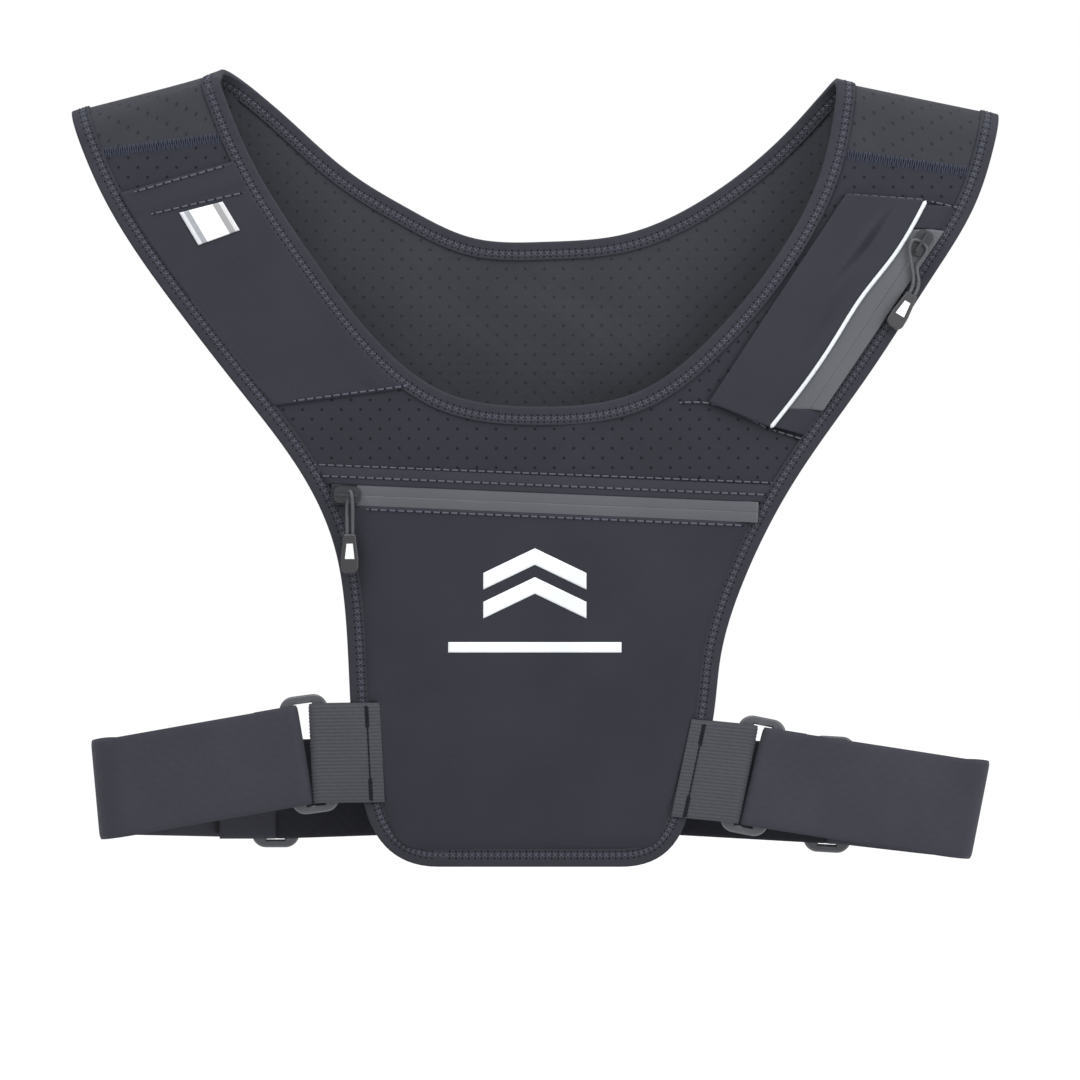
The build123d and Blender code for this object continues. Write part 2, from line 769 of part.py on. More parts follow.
# ------------------------------------------------------------------ names and files
pieces = {
    "front_panel": front_panel,
    "back_panel": back_panel,
    "outer_binding": outer_binding,
    "neck_binding": neck_binding,
    "main_pocket_panel": main_pocket_panel,
    "main_pocket_lining": main_pocket_lining,
    "main_zip_welt": main_zip_welt,
    "reflective_print": reflective_print,
    "slip_pocket_panel": slip_pocket_panel,
    "reflective_tag": reflective_tag,
    "zip_pocket_panel": zip_pocket_panel,
    "zip_pocket_facing": zip_pocket_facing,
    "zip_pocket_piping": zip_pocket_piping,
    "main_zip_upper_tape": main_zip_upper_tape,
    "main_zip_lower_tape": main_zip_lower_tape,
    "main_zip_coil": main_zip_coil,
    "main_zip_stops": main_zip_stops,
    "shoulder_zip_inner_tape": shoulder_zip_inner_tape,
    "shoulder_zip_outer_tape": shoulder_zip_outer_tape,
    "shoulder_zip_coil": shoulder_zip_coil,
    "shoulder_zip_stops": shoulder_zip_stops,
    "main_slider": main_slider,
    "main_pull_cord": main_pull_cord,
    "main_pull_tip": main_pull_tip,
    "main_pull_mark": main_pull_mark,
    "shoulder_slider": shoulder_slider,
    "shoulder_pull_cord": shoulder_pull_cord,
    "shoulder_pull_tip": shoulder_pull_tip,
    "shoulder_pull_mark": shoulder_pull_mark,
    "left_front_tab": left_front_tab,
    "right_front_tab": right_front_tab,
    "left_rear_tab": left_rear_tab,
    "right_rear_tab": right_rear_tab,
    "left_front_ring": left_front_ring,
    "right_front_ring": right_front_ring,
    "left_rear_ring": left_rear_ring,
    "right_rear_ring": right_rear_ring,
    "left_elastic": left_elastic,
    "right_elastic": right_elastic,
    "left_hook_patch": left_hook_patch,
    "right_hook_patch": right_hook_patch,
}
pieces.update(shoulder_seams)
for name, piece in pieces.items():
    piece.part.label = name
    export_step(piece.part, f"parts/{name}.step")
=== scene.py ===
# %% [markdown]
# # A chest phone vest, finished in Blender
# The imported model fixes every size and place. This script dresses it: each cloth solid is
# replaced by a thin sewn sheet, the plastic and metal pieces keep their solids and get
# better materials, and the loose zip cords are drawn as smooth curves.

import math

import bmesh
import bpy
import numpy as np
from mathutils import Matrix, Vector


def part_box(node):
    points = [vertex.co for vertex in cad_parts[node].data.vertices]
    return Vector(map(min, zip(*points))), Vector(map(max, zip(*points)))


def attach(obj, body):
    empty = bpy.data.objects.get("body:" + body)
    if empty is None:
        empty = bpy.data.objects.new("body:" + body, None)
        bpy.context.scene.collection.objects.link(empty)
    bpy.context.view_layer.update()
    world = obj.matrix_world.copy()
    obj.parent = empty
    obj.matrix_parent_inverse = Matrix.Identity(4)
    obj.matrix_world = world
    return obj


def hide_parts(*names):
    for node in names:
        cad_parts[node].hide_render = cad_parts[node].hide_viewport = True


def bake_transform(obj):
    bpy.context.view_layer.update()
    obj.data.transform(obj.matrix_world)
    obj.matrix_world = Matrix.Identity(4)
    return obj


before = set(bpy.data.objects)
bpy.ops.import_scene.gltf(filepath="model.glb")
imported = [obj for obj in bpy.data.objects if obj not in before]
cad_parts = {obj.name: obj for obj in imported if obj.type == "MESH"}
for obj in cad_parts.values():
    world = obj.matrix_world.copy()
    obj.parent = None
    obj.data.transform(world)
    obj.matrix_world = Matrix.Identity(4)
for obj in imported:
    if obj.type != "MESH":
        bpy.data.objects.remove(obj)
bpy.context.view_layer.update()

# %% [markdown]
# ## Levels and pattern lines
# A vest is cut flat. Its edges are drawn once as smooth lines in the front view, in
# millimetres, with X across the chest and Z up, and every sheet, binding and stitch row
# is worked out from them. The levels in front of the middle come from the solids.

# %% Levels
mm = 0.001
skin = -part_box("front_panel")[0][1]  # front face of the neoprene, forward of the middle
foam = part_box("front_panel")[1][1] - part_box("front_panel")[0][1]  # neoprene thickness
pocket_skin = -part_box("main_pocket_panel")[0][1]
middle = skin - foam / 2
binding_width = 8.3 * mm
hem_z = -374 * mm
forward = (0, -1, 0)
print("neoprene face", skin, "pocket face", pocket_skin)


# %% Smooth lines
def smooth_line(points, count=500):
    """Natural cubic spline through the points: one linear system gives the bending at each
    point, and each span is the cubic with that bending, spaced by chord length."""
    p = np.array(points, float) * mm
    t = np.r_[0, np.cumsum(np.linalg.norm(np.diff(p, axis=0), axis=1))]
    h, last = np.diff(t), len(p) - 1
    system, load = np.eye(len(p)), np.zeros_like(p)
    i = np.arange(1, last)
    system[i, i - 1], system[i, i], system[i, i + 1] = h[:-1], 2 * (h[:-1] + h[1:]), h[1:]
    slope = np.diff(p, axis=0) / h[:, None]
    load[1:-1] = 6 * np.diff(slope, axis=0)
    bend = np.linalg.solve(system, load)
    s = np.linspace(0, t[-1], count)
    k = np.clip(np.searchsorted(t, s, side="right") - 1, 0, last - 1)
    u, v, w = (s - t[k])[:, None], (t[k + 1] - s)[:, None], h[k][:, None]
    cubic = (bend[k] * v**3 + bend[k + 1] * u**3) / (6 * w)
    return cubic + (p[k] / w - bend[k] * w / 6) * v + (p[k + 1] / w - bend[k + 1] * w / 6) * u


def lengths(line):
    """Distance along a line at each of its points."""
    return np.r_[0, np.cumsum(np.linalg.norm(np.diff(line, axis=0), axis=1))]


def unit(vectors):
    """The same directions with length 1."""
    return vectors / np.linalg.norm(vectors, axis=-1, keepdims=True)


def sample(values, s, want):
    """Rows of values, known at the distances s, read off at the wanted distances."""
    return np.stack([np.interp(want, s, column) for column in values.T], axis=1)


def part_of(line, start, end, count):
    """Evenly spaced points of a line from one distance along it to another."""
    return sample(line, lengths(line), np.linspace(start, end, count))


def point_at(line, distance):
    return part_of(line, distance, distance, 1)[0]


def beside(line, amount):
    """The line moved to its left-hand side: each point goes along the turned tangent."""
    tangent = unit(np.gradient(line, axis=0))
    return line + amount * np.stack([-tangent[:, 1], tangent[:, 0]], axis=1)


def meet(line, start, end):
    """Distance along a line to where it crosses the straight line from start to end."""
    start, end = np.array(start), np.array(end)
    way = end - start
    off = line - start
    side = way[0] * off[:, 1] - way[1] * off[:, 0]
    k = np.nonzero(side[:-1] * side[1:] <= 0)[0][0]
    share = side[k] / (side[k] - side[k + 1])
    s = lengths(line)
    return s[k] + share * (s[k + 1] - s[k])


def between(line, first, second, count):
    """Evenly spaced points of a line from one straight cut across it to another."""
    return part_of(line, meet(line, *first), meet(line, *second), count)


# %% Pattern lines
left_arm = smooth_line(
    [(-241, 60), (-226, -6), (-209, -49), (-175, -101), (-141, -145), (-110, -188), (-97, -218)]
    + [(-91.5, -250), (-89, -294), (-83.5, -339), (-71, -374), (-58, -400)]
)
right_arm = smooth_line(
    [(242, 60), (226, -8), (213.5, -52), (193, -87), (161, -136), (125.5, -187), (101, -235)]
    + [(89.5, -273), (86, -302), (76.5, -339), (66, -374), (57, -400)]
)
front_neck = smooth_line(
    [(-154.5, 8), (-142, -24), (-108, -80), (-76, -121), (-45, -144.5), (2, -152), (52, -144)]
    + [(86, -118), (118, -79), (141, -33), (148, 6)]
)
back_neck = smooth_line(
    [(-153, 17), (-124, -7), (-92, -35), (-61, -54), (-31, -67.5), (5, -69.5), (43, -66)]
    + [(85, -47.5), (127, -13), (148, 11)]
)
left_fold = np.array([(-226, -6.4), (-158, 16.7)]) * mm
right_fold = np.array([(150, 12.3), (226, -7.8)]) * mm
left_seam = np.array([(-208, -28), (-153, -21)]) * mm
right_seam = np.array([(155, -29.5), (208, -37)]) * mm
main_zip = np.array([(-95, -194), (105, -202.5)]) * mm
shoulder_zip = np.array([(189.5, -68.5), (135.7, -149.4)]) * mm
half_tape = 5 * mm
print("arm edge", round(lengths(left_arm)[-1], 3), "front neckline", round(lengths(front_neck)[-1], 3))


# %% [markdown]
# ## Turning a flat pattern into a hanging vest
# Over each shoulder the cloth turns through half a circle, from the front layer to the
# back one. A pattern row is a pair of edge points, and the row's place is the flat front,
# a step round the half circle, or the flat back.

# %% Shoulder folds
def fold_frame(fold):
    """Point on the axis that the cloth turns about, and the unit step up from it."""
    way = unit(fold[1] - fold[0])
    up = np.array([-way[1], way[0]])
    return fold[0] - up * skin, up


def below_fold(line, fold):
    """Distances along a line to its crossing of the fold's axis."""
    axis, up = fold_frame(fold)
    return meet(line, axis, axis + np.array([up[1], -up[0]]))


def at_height(line, fold, height):
    """Points of a line at these heights above the fold's axis."""
    axis, up = fold_frame(fold)
    rise = (line - axis) @ up
    near = rise > -60 * mm
    order = np.argsort(rise[near])
    return sample(line[near][order], rise[near][order], height)


def hem_corner(line, side, level=hem_z, cut=24 * mm):
    """The arm edge cut off above the hem and the curve that rounds it into the hem: a
    quadratic blend of three points, the middle one being the sharp corner."""
    s = meet(line, (-1, level), (1, level))
    corner, start = point_at(line, s), point_at(line, s - cut)
    end = corner - np.array([side * cut, 0])
    t = np.linspace(0, 1, 13)[:, None]
    return s - cut, (1 - t) ** 2 * start + 2 * t * (1 - t) * corner + t**2 * end


def row_grid(starts, ends, columns):
    """Ruled grid: each row runs evenly from its start point to its end point."""
    t = np.linspace(0, 1, columns)[None, :, None]
    return starts[:, None] * (1 - t) + ends[:, None] * t


def stand(flat, level):
    """Front-view places put at this level, forward of the middle when positive."""
    level = np.broadcast_to(level, flat.shape[:-1])
    return np.stack([flat[..., 0], -level, flat[..., 1]], axis=-1)


def place(flat, level):
    """The same for a grid, with its pattern places as UVs. The level may be a function."""
    if callable(level):
        level = level(flat[..., 0], flat[..., 1])
    return stand(flat, level), flat.copy()


# %% Making a mesh from grids
def make_piece(name, grids, facing=None, thickness=0, merge=0.0001):
    """Quads over every grid, stitched where grids share points. Every grid is turned to look
    the way of facing. A thickness grows the sheet away from the side it faces."""
    verts, faces, uvs, base = [], [], [], 0
    for points, uv in grids:
        rows, cols = points.shape[:2]
        i = np.arange(rows * cols).reshape(rows, cols) + base
        quads = np.stack([i[:-1, :-1], i[:-1, 1:], i[1:, 1:], i[1:, :-1]], axis=-1)
        first, second = points[1:, 1:] - points[:-1, :-1], points[1:, :-1] - points[:-1, 1:]
        if facing is not None and np.cross(first, second).sum((0, 1)) @ facing < 0:
            quads = quads[..., ::-1]
        faces.append(quads.reshape(-1, 4))
        verts.append(points.reshape(-1, 3))
        uvs.append(uv.reshape(-1, 2))
        base += rows * cols
    verts, faces, uvs = np.vstack(verts), np.vstack(faces), np.vstack(uvs)
    mesh = bpy.data.meshes.new(name)
    mesh.from_pydata(verts.tolist(), [], faces.tolist())
    layer = mesh.uv_layers.new(name="pattern")
    layer.data.foreach_set("uv", uvs[faces.reshape(-1)].reshape(-1))
    work = bmesh.new()
    work.from_mesh(mesh)
    bmesh.ops.remove_doubles(work, verts=work.verts, dist=merge)
    if facing is None:
        bmesh.ops.recalc_face_normals(work, faces=work.faces)
    work.to_mesh(mesh)
    work.free()
    mesh.polygons.foreach_set("use_smooth", [True] * len(mesh.polygons))
    piece = bpy.data.objects.new(name, mesh)
    bpy.context.scene.collection.objects.link(piece)
    if thickness:
        wall = piece.modifiers.new("wall", "SOLIDIFY")
        wall.thickness, wall.offset = thickness, -1
    return piece


def finish_piece(piece, material, body, slot, *nodes):
    """Gives a piece its material, its body and the solids that it stands for."""
    piece.data.materials.append(material)
    if body:
        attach(piece, body)
    if nodes:
        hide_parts(*nodes)
    print(piece.name, len(piece.data.polygons), "faces")
    return piece


def laid(name, flat, level, thickness):
    """Sheet that faces forward, laid out in the front view."""
    return make_piece(name, [place(flat, level)], facing=forward, thickness=thickness)


def sewn(name, rows, material, *nodes):
    """Threads gathered into one piece on the vest."""
    return finish_piece(make_piece(name, rows, merge=1e-6), material, "vest", "stitching", *nodes)


# %% [markdown]
# ## Finishes
# Dark sportswear cloth is never one flat black. Each cloth has a fine knit or weave that
# catches the light, a little fuzz that brightens grazing edges, and slow changes of tone.
# All patterns are in metres, so that they have their real pitch.

# %% Node helpers
def new_material(name, colour, roughness, **sockets):
    """Principled material with its plain sockets set."""
    material = bpy.data.materials.new(name)
    material.use_nodes = True
    shader = material.node_tree.nodes["Principled BSDF"]
    shader.inputs["Base Color"].default_value = (*colour, 1)
    shader.inputs["Roughness"].default_value = roughness
    for key, value in sockets.items():
        shader.inputs[key.replace("_", " ")].default_value = value
    return material, material.node_tree, shader


def node(tree, kind, values=(), **settings):
    """New node with its settings, and its inputs given as {socket: value or output}."""
    made = tree.nodes.new(kind)
    for key, value in settings.items():
        setattr(made, key, value)
    for key, value in dict(values).items():
        if isinstance(value, bpy.types.NodeSocket):
            tree.links.new(value, made.inputs[key])
        else:
            made.inputs[key].default_value = value
    return made


def maths(tree, operation, a, b=0.0):
    return node(tree, "ShaderNodeMath", {0: a, 1: b}, operation=operation).outputs[0]


def toned(tree, shader, colour, low, high, scale, place_of):
    """Slow change of tone: noise mixes a darker and a lighter version of the colour."""
    noise = node(tree, "ShaderNodeTexNoise", {"Vector": place_of, "Scale": scale, "Detail": 4.0})
    mix = node(tree, "ShaderNodeMix", {"Factor": noise.outputs["Fac"]}, data_type="RGBA")
    mix.inputs[6].default_value = (*(c * low for c in colour), 1)
    mix.inputs[7].default_value = (*(c * high for c in colour), 1)
    tree.links.new(mix.outputs[2], shader.inputs["Base Color"])
    return mix.outputs[2]


def holes(tree, uv, pitch, radius):
    """1 inside round holes on a staggered grid: each second row moves by half a pitch, and a
    hole is where the distance to the cell's middle is under the radius."""
    split = node(tree, "ShaderNodeSeparateXYZ", {0: uv})
    row = maths(tree, "DIVIDE", split.outputs[1], pitch / 2)
    odd = maths(tree, "MULTIPLY", maths(tree, "MODULO", maths(tree, "FLOOR", row), 2.0), 0.5)
    column = maths(tree, "ADD", maths(tree, "DIVIDE", split.outputs[0], pitch), odd)
    dx = maths(tree, "SUBTRACT", maths(tree, "FRACT", column), 0.5)
    dz = maths(tree, "MULTIPLY", maths(tree, "SUBTRACT", maths(tree, "FRACT", row), 0.5), 0.5)
    square = maths(tree, "ADD", maths(tree, "MULTIPLY", dx, dx), maths(tree, "MULTIPLY", dz, dz))
    far = maths(tree, "MULTIPLY", maths(tree, "SQRT", square), pitch)
    edge = node(tree, "ShaderNodeMapRange", {0: far, 1: radius * 0.75, 2: radius * 1.15, 3: 1.0, 4: 0.0})
    return edge.outputs[0]


def cloth(name, colour, roughness=0.86, sheen=0.03, weave=0.9 * mm, relief=0.25, perforated=0.0):
    """Knit or woven cloth: two crossing fine waves give the weave's bump, noise changes the
    tone, and the perforated kind's holes sink and get painted shade."""
    gloss = 0.1 if roughness > 0.6 else 0.3
    material, tree, shader = new_material(
        name, colour, roughness, Sheen_Weight=sheen, Sheen_Roughness=0.45, Specular_IOR_Level=gloss
    )
    shader.inputs["Sheen Tint"].default_value = (0.62, 0.66, 0.78, 1)
    uv = node(tree, "ShaderNodeUVMap", uv_map="pattern").outputs[0]
    tone = toned(tree, shader, colour, 0.82, 1.2, 22.0, uv)
    turned = node(tree, "ShaderNodeMapping", {"Vector": uv, "Rotation": (0, 0, math.radians(45))})
    height = None
    for axis in ("X", "Y"):
        wave = node(
            tree, "ShaderNodeTexWave",
            {"Vector": turned.outputs[0], "Scale": 1 / weave / 20, "Distortion": 0.6},
            wave_type="BANDS", bands_direction=axis,
        ).outputs["Fac"]
        height = wave if height is None else maths(tree, "MULTIPLY", height, wave)
    lumps = node(tree, "ShaderNodeTexNoise", {"Vector": uv, "Scale": 900.0, "Detail": 2.0}).outputs["Fac"]
    height = maths(tree, "ADD", height, maths(tree, "MULTIPLY", lumps, 0.6))
    if perforated:
        hole = maths(tree, "MULTIPLY", holes(tree, uv, 9.4 * mm, 0.78 * mm), perforated)
        # Near-black colour in the holes: painted shade inside the perforations.
        dark = node(tree, "ShaderNodeMix", {"Factor": hole}, data_type="RGBA")
        tree.links.new(tone, dark.inputs[6])
        dark.inputs[7].default_value = (0.004, 0.004, 0.006, 1)
        tree.links.new(dark.outputs[2], shader.inputs["Base Color"])
        height = maths(tree, "SUBTRACT", height, maths(tree, "MULTIPLY", hole, 4.0))
    bump = node(tree, "ShaderNodeBump", {"Height": height, "Strength": relief, "Distance": 0.0004})
    tree.links.new(bump.outputs[0], shader.inputs["Normal"])
    return material


def moulded(name, colour, roughness, grain=0.05, place_name="Object", scale=500.0, **sockets):
    """Moulded plastic or enamelled metal: fine grain in the bump and a slight change of gloss."""
    material, tree, shader = new_material(name, colour, roughness, **sockets)
    where = node(tree, "ShaderNodeTexCoord").outputs[place_name]
    toned(tree, shader, colour, 0.9, 1.12, 60.0, where)
    noise = node(tree, "ShaderNodeTexNoise", {"Vector": where, "Scale": scale, "Detail": 3.0})
    gloss = node(
        tree, "ShaderNodeMapRange", {0: noise.outputs["Fac"], 3: roughness - 0.06, 4: roughness + 0.08}
    )
    tree.links.new(gloss.outputs[0], shader.inputs["Roughness"])
    bump = node(
        tree, "ShaderNodeBump", {"Height": noise.outputs["Fac"], "Strength": grain, "Distance": 0.0003}
    )
    tree.links.new(bump.outputs[0], shader.inputs["Normal"])
    return material


# %% The finishes
neoprene = cloth("perforated_neoprene", (0.0175, 0.018, 0.0235), perforated=0.85)
back_foam = cloth("back_neoprene", (0.022, 0.0232, 0.0278), perforated=0.5)
plain_knit = cloth(
    "smooth_stretch_knit", (0.0185, 0.0192, 0.0252), roughness=0.8, weave=0.6 * mm, relief=0.15
)
binding_knit = cloth("knitted_binding", (0.021, 0.0218, 0.0275), weave=1.1 * mm, relief=0.45)
elastic_knit = cloth("brushed_elastic", (0.0265, 0.027, 0.0345), weave=0.8 * mm, relief=0.35, sheen=0.06)
webbing_weave = cloth("ribbed_webbing", (0.04, 0.042, 0.0485), weave=0.7 * mm, relief=0.4)
# Smooth webbing for the rear tabs, darkened below the front webbing as painted shade for their place behind
# the vest.
shaded_tab_webbing = cloth("rear_tab_webbing_painted_shade", (0.012, 0.0124, 0.016), weave=0.7 * mm, relief=0.4)
tape_satin = cloth(
    "satin_zip_tape", (0.05, 0.053, 0.06), roughness=0.45, sheen=0.05, weave=0.5 * mm, relief=0.1
)
thread = cloth("sewing_thread", (0.06, 0.064, 0.08), weave=0.3 * mm, relief=0.3)
binding_thread = cloth("binding_thread", (0.048, 0.051, 0.066), weave=0.3 * mm, relief=0.3)
# Near-black thread for the webbing tab stitches; the same material is the painted shade in the needle holes.
dark_thread_and_hole_shade = cloth("dark_thread_and_hole_shade", (0.008, 0.008, 0.011), sheen=0.02, weave=0.3 * mm, relief=0.3)
hook_fabric = cloth("hook_fabric", (0.012, 0.012, 0.015), roughness=0.7, weave=0.5 * mm, relief=0.8)
silver = cloth("reflective_piping", (0.42, 0.44, 0.46), roughness=0.4, weave=0.5 * mm, relief=0.5)
film = cloth("reflective_film", (0.5, 0.52, 0.54), roughness=0.5, sheen=0.0, weave=0.3 * mm, relief=0.05)
ring_plastic = moulded("ring_acetal", (0.036, 0.038, 0.045), 0.35)
tip_rubber = moulded("tip_rubber", (0.012, 0.012, 0.015), 0.45)
enamel = moulded("slider_enamel", (0.012, 0.013, 0.016), 0.3)
mark_white = moulded("mark_white", (0.50, 0.51, 0.52), 0.55)
coil_nylon = moulded("coil_nylon", (0.010, 0.010, 0.012), 0.5)
print("finishes", len(bpy.data.materials))


# %% [markdown]
# ## Drape
# Foam cloth that hangs is never dead flat. Long shallow waves and a few soft creases are
# added as a change of level, worked out from the place in the front view, and every
# layer on the front uses the same one, so that pockets and stitches lie on the cloth.

# %% Waves and creases
def ridge(x, z, start, end, width):
    """1 along a straight segment, falling away on each side as a bell and at its ends."""
    a, b = np.array(start) * mm, np.array(end) * mm
    way, long = unit(b - a), np.linalg.norm(b - a)
    along = (x - a[0]) * way[0] + (z - a[1]) * way[1]
    across = (x - a[0]) * -way[1] + (z - a[1]) * way[0]
    inside = np.clip(along / long, 0, 1)
    return np.exp(-((across / width) ** 2)) * np.sin(math.pi * inside) ** 1.2


def calm(x, z, lines, reach):
    """0 on hardware, growing to 1 over the reach: one minus a bell of the distance to each
    straight line."""
    still = 1.0
    for start, end in lines:
        a, way = np.array(start), np.array(end) - np.array(start)
        share = np.clip(((x - a[0]) * way[0] + (z - a[1]) * way[1]) / (way @ way), 0, 1)
        far = np.hypot(x - a[0] - share * way[0], z - a[1] - share * way[1])
        still = still * (1 - np.exp(-((far / reach) ** 2)))
    return still


left_tab_line = np.array([(-110, -320), (-76, -319)]) * mm
right_tab_line = np.array([(106, -330.5), (73, -326.5)]) * mm
hardware = [main_zip, shoulder_zip, left_tab_line, right_tab_line]


def drape(x, z):
    """Level added to the front layers, in metres: two crossing long waves and the creases."""
    waves = 0.45 * np.sin(x / 0.037 + z / 0.051) + 0.35 * np.sin(z / 0.029 - x / 0.083 + 1.3)
    creases = 1.2 * ridge(x, z, (-8, -176), (52, -146), 5 * mm)
    creases = creases + 1.0 * ridge(x, z, (-150, -66), (-92, -140), 9 * mm)
    creases = creases - 0.8 * ridge(x, z, (-176, -92), (-112, -150), 7 * mm)
    creases = creases - 0.9 * ridge(x, z, (-88, -139), (-74, -146), 3 * mm)
    return (waves + creases) * mm * 0.5 * calm(x, z, hardware, 22 * mm)


def back_drape(x, z):
    """Level added to the back panel: longer waves that fan out from the neckline."""
    waves = 0.7 * np.sin(x / 0.045 - z / 0.06 + 0.6) + 0.4 * np.sin(x / 0.021 + z / 0.034)
    creases = 1.3 * ridge(x, z, (-40, -78), (70, -112), 6 * mm)
    creases = creases - 1.0 * ridge(x, z, (-70, -100), (20, -140), 7 * mm)
    rear_tabs = [(left_tab_line[0] - [0, 0.018], left_tab_line[1] - [0, 0.018])]
    rear_tabs.append((right_tab_line[0] - [0, 0.01], right_tab_line[1] - [0, 0.01]))
    return (waves + creases) * mm * 0.5 * calm(x, z, rear_tabs, 22 * mm)


def hang(flat, turn):
    """Level of the outer face forward of the middle: the cosine of the turn carries it from
    front to back, and the waves fade out near the shoulder folds."""
    x, z = flat[..., 0], flat[..., 1]
    fade = 1.0
    for fold, side in ((left_fold, -1), (right_fold, 1)):
        axis, up = fold_frame(fold)
        below = np.clip(-((flat - axis) @ up) / 0.03, 0, 1)
        fade = fade * np.where(x * side > 0, below, 1.0)
    facing = np.cos(turn)
    wave = np.where(facing > 0, drape(x, z), -back_drape(x, z)) * fade * (np.abs(facing) > 0.999)
    return skin * facing + wave


# %% [markdown]
# ## Neoprene body
# The real vest is cut from perforated foam cloth: a front piece, and a back piece whose
# straps come over the shoulders to a flat seam. Each is built from rows that run between
# two pattern lines, so the sheet ends exactly on its cut edge.

# %% Rows of the front and back
columns = 44


def rows_between(outer, inner, outer_span, inner_span, count):
    """Matching rows: the same share of the way along each of two lines."""
    return part_of(outer, *outer_span, count), part_of(inner, *inner_span, count)


def lower_flats(low):
    """Left and right halves of the panel, from the neckline's lowest point down to the hem."""
    ends = []
    for line, side in ((left_arm, -1), (right_arm, 1)):
        stop, corner = hem_corner(line, side)
        top = meet(line, (-1, low[1]), (1, low[1]))
        whole = np.vstack([part_of(line, top, stop, 80), corner[1:]])
        ends.append(whole)
    levels = np.r_[np.linspace(low[1], ends[0][79, 1], 60), ends[0][80:, 1]]
    left, right = (np.stack([np.interp(-levels, -e[:, 1], e[:, 0]), levels], axis=1) for e in ends)
    centre = np.stack([np.full(len(left), low[0]), levels], axis=1)
    return [row_grid(left, centre, columns), row_grid(centre, right, columns)]


def lowest(line):
    """Distance along a neckline to its lowest point, and that point."""
    k = np.argmin(line[:, 1])
    return lengths(line)[k], line[k]


def front_grids():
    """Front piece: rows below the neckline, and one strap up each side to its seam."""
    dip, low = lowest(front_neck)
    flats = lower_flats(low)
    for arm, seam, flip in ((left_arm, left_seam, False), (right_arm, right_seam, True)):
        arm_span = (meet(arm, (-1, low[1]), (1, low[1])), meet(arm, *seam))
        neck_span = (dip, meet(front_neck, *seam))
        outer, inner = rows_between(arm, front_neck, arm_span, neck_span, 56)
        flats.append(row_grid(inner, outer, columns) if flip else row_grid(outer, inner, columns))
    return [place(f, hang(f, 0.0)) for f in flats]


def over_shoulder(arm, fold, seam):
    """Strap from its front seam over the fold and down to the back neckline's lowest level."""
    quarter = np.linspace(0, math.pi, 25)[1:-1]
    dip, low = lowest(back_neck)
    front = rows_between(
        arm, front_neck, (meet(arm, *seam), below_fold(arm, fold)),
        (meet(front_neck, *seam), below_fold(front_neck, fold)), 8,
    )
    share = (1 - np.cos(quarter))[:, None] / 2
    rise = skin * np.sin(quarter)
    neck = at_height(front_neck, fold, rise) * (1 - share) + at_height(back_neck, fold, rise) * share
    turn = at_height(arm, fold, rise), neck
    back = rows_between(
        arm, back_neck, (below_fold(arm, fold), meet(arm, (-1, low[1]), (1, low[1]))),
        (below_fold(back_neck, fold), dip), 40,
    )
    outer, inner = (np.vstack([front[k], turn[k], back[k]]) for k in (0, 1))
    flat = row_grid(outer, inner, columns)
    turned = np.r_[np.zeros(8), quarter, np.full(40, math.pi)][:, None]
    level = hang(flat, turned)
    points, uv = place(flat, level)
    steps = np.hypot(np.diff(flat[..., 1], axis=0), np.diff(level, axis=0))
    uv[:-1, :, 1] = uv[-1:, :, 1] + np.cumsum(steps[::-1], axis=0)[::-1]
    return points, uv


def back_grids():
    """Back piece: both straps and the rows below the back neckline."""
    grids = [place(flat, hang(flat, math.pi)) for flat in lower_flats(lowest(back_neck)[1])]
    grids.append(over_shoulder(left_arm, left_fold, left_seam))
    grids.append(over_shoulder(right_arm, right_fold, right_seam))
    return grids


# %% Body sheets
front_cloth = make_piece("front_neoprene", front_grids(), facing=forward, thickness=foam)
back_cloth = make_piece("back_neoprene", back_grids(), facing=(0, 1, 0), thickness=foam)
finish_piece(front_cloth, neoprene, "vest", "neoprene", "front_panel")
finish_piece(back_cloth, back_foam, "vest", "neoprene", "back_panel")

# %% [markdown]
# ## Knitted binding
# A soft knitted tape is folded over every cut edge and sewn through with a zigzag. It is
# one profile, a flat U, carried round a closed path: the outer edge goes down one arm
# opening, along the hem and up the other, over both shoulders and round the back.

# %% Closed edge paths
def edge_run(line, fold, side):
    """One arm edge from the front hem, up, over the shoulder and down to the back hem, as
    place in the front view and turn."""
    stop, corner = hem_corner(line, side)
    up = np.vstack([corner[::-1], part_of(line, stop, below_fold(line, fold), 200)[1:]])
    turns = np.linspace(0, math.pi, 41)[1:-1]
    over = at_height(line, fold, middle * np.sin(turns))
    flat = np.vstack([up, over, up[::-1]])
    return flat, np.r_[np.zeros(len(up)), turns, np.full(len(up), math.pi)]


def neck_over(fold):
    """The neckline over one shoulder, from the front to the back: heights follow the half
    circle while the place moves from the front neckline to the back one."""
    turns = np.linspace(0, math.pi, 41)[1:-1]
    share = (1 - np.cos(turns))[:, None] / 2
    rise = middle * np.sin(turns)
    flat = at_height(front_neck, fold, rise) * (1 - share) + at_height(back_neck, fold, rise) * share
    return flat, turns


def closed_path(flat, turn, spacing):
    """Even points round a closed edge, with the way out of the cloth and the way into it."""
    fold_up = np.where(flat[:, :1] < 0, fold_frame(left_fold)[1], fold_frame(right_fold)[1])
    points = stand(flat, hang(flat, turn) - np.cos(turn) * foam / 2)
    rise = np.sin(turn)[:, None] * fold_up
    ring = np.hstack([points, stand(rise, np.cos(turn))])
    ring = np.vstack([ring, ring[:1]])
    s = lengths(ring[:, :3])
    count = int(s[-1] / spacing)
    even = np.linspace(0, s[-1], count + 1)
    ring = sample(ring, s, even)
    path, out = ring[:, :3], unit(ring[:, 3:])
    way = np.roll(path[:-1], -1, axis=0) - np.roll(path[:-1], 1, axis=0)
    way = unit(np.vstack([way, way[:1]]))
    return path, out, unit(np.cross(way, out)), even


def neck_part(line):
    """A neckline between the two shoulder folds."""
    far = lengths(line)[-1] - below_fold(line[::-1], right_fold)
    return part_of(line, below_fold(line, left_fold), far, 240)


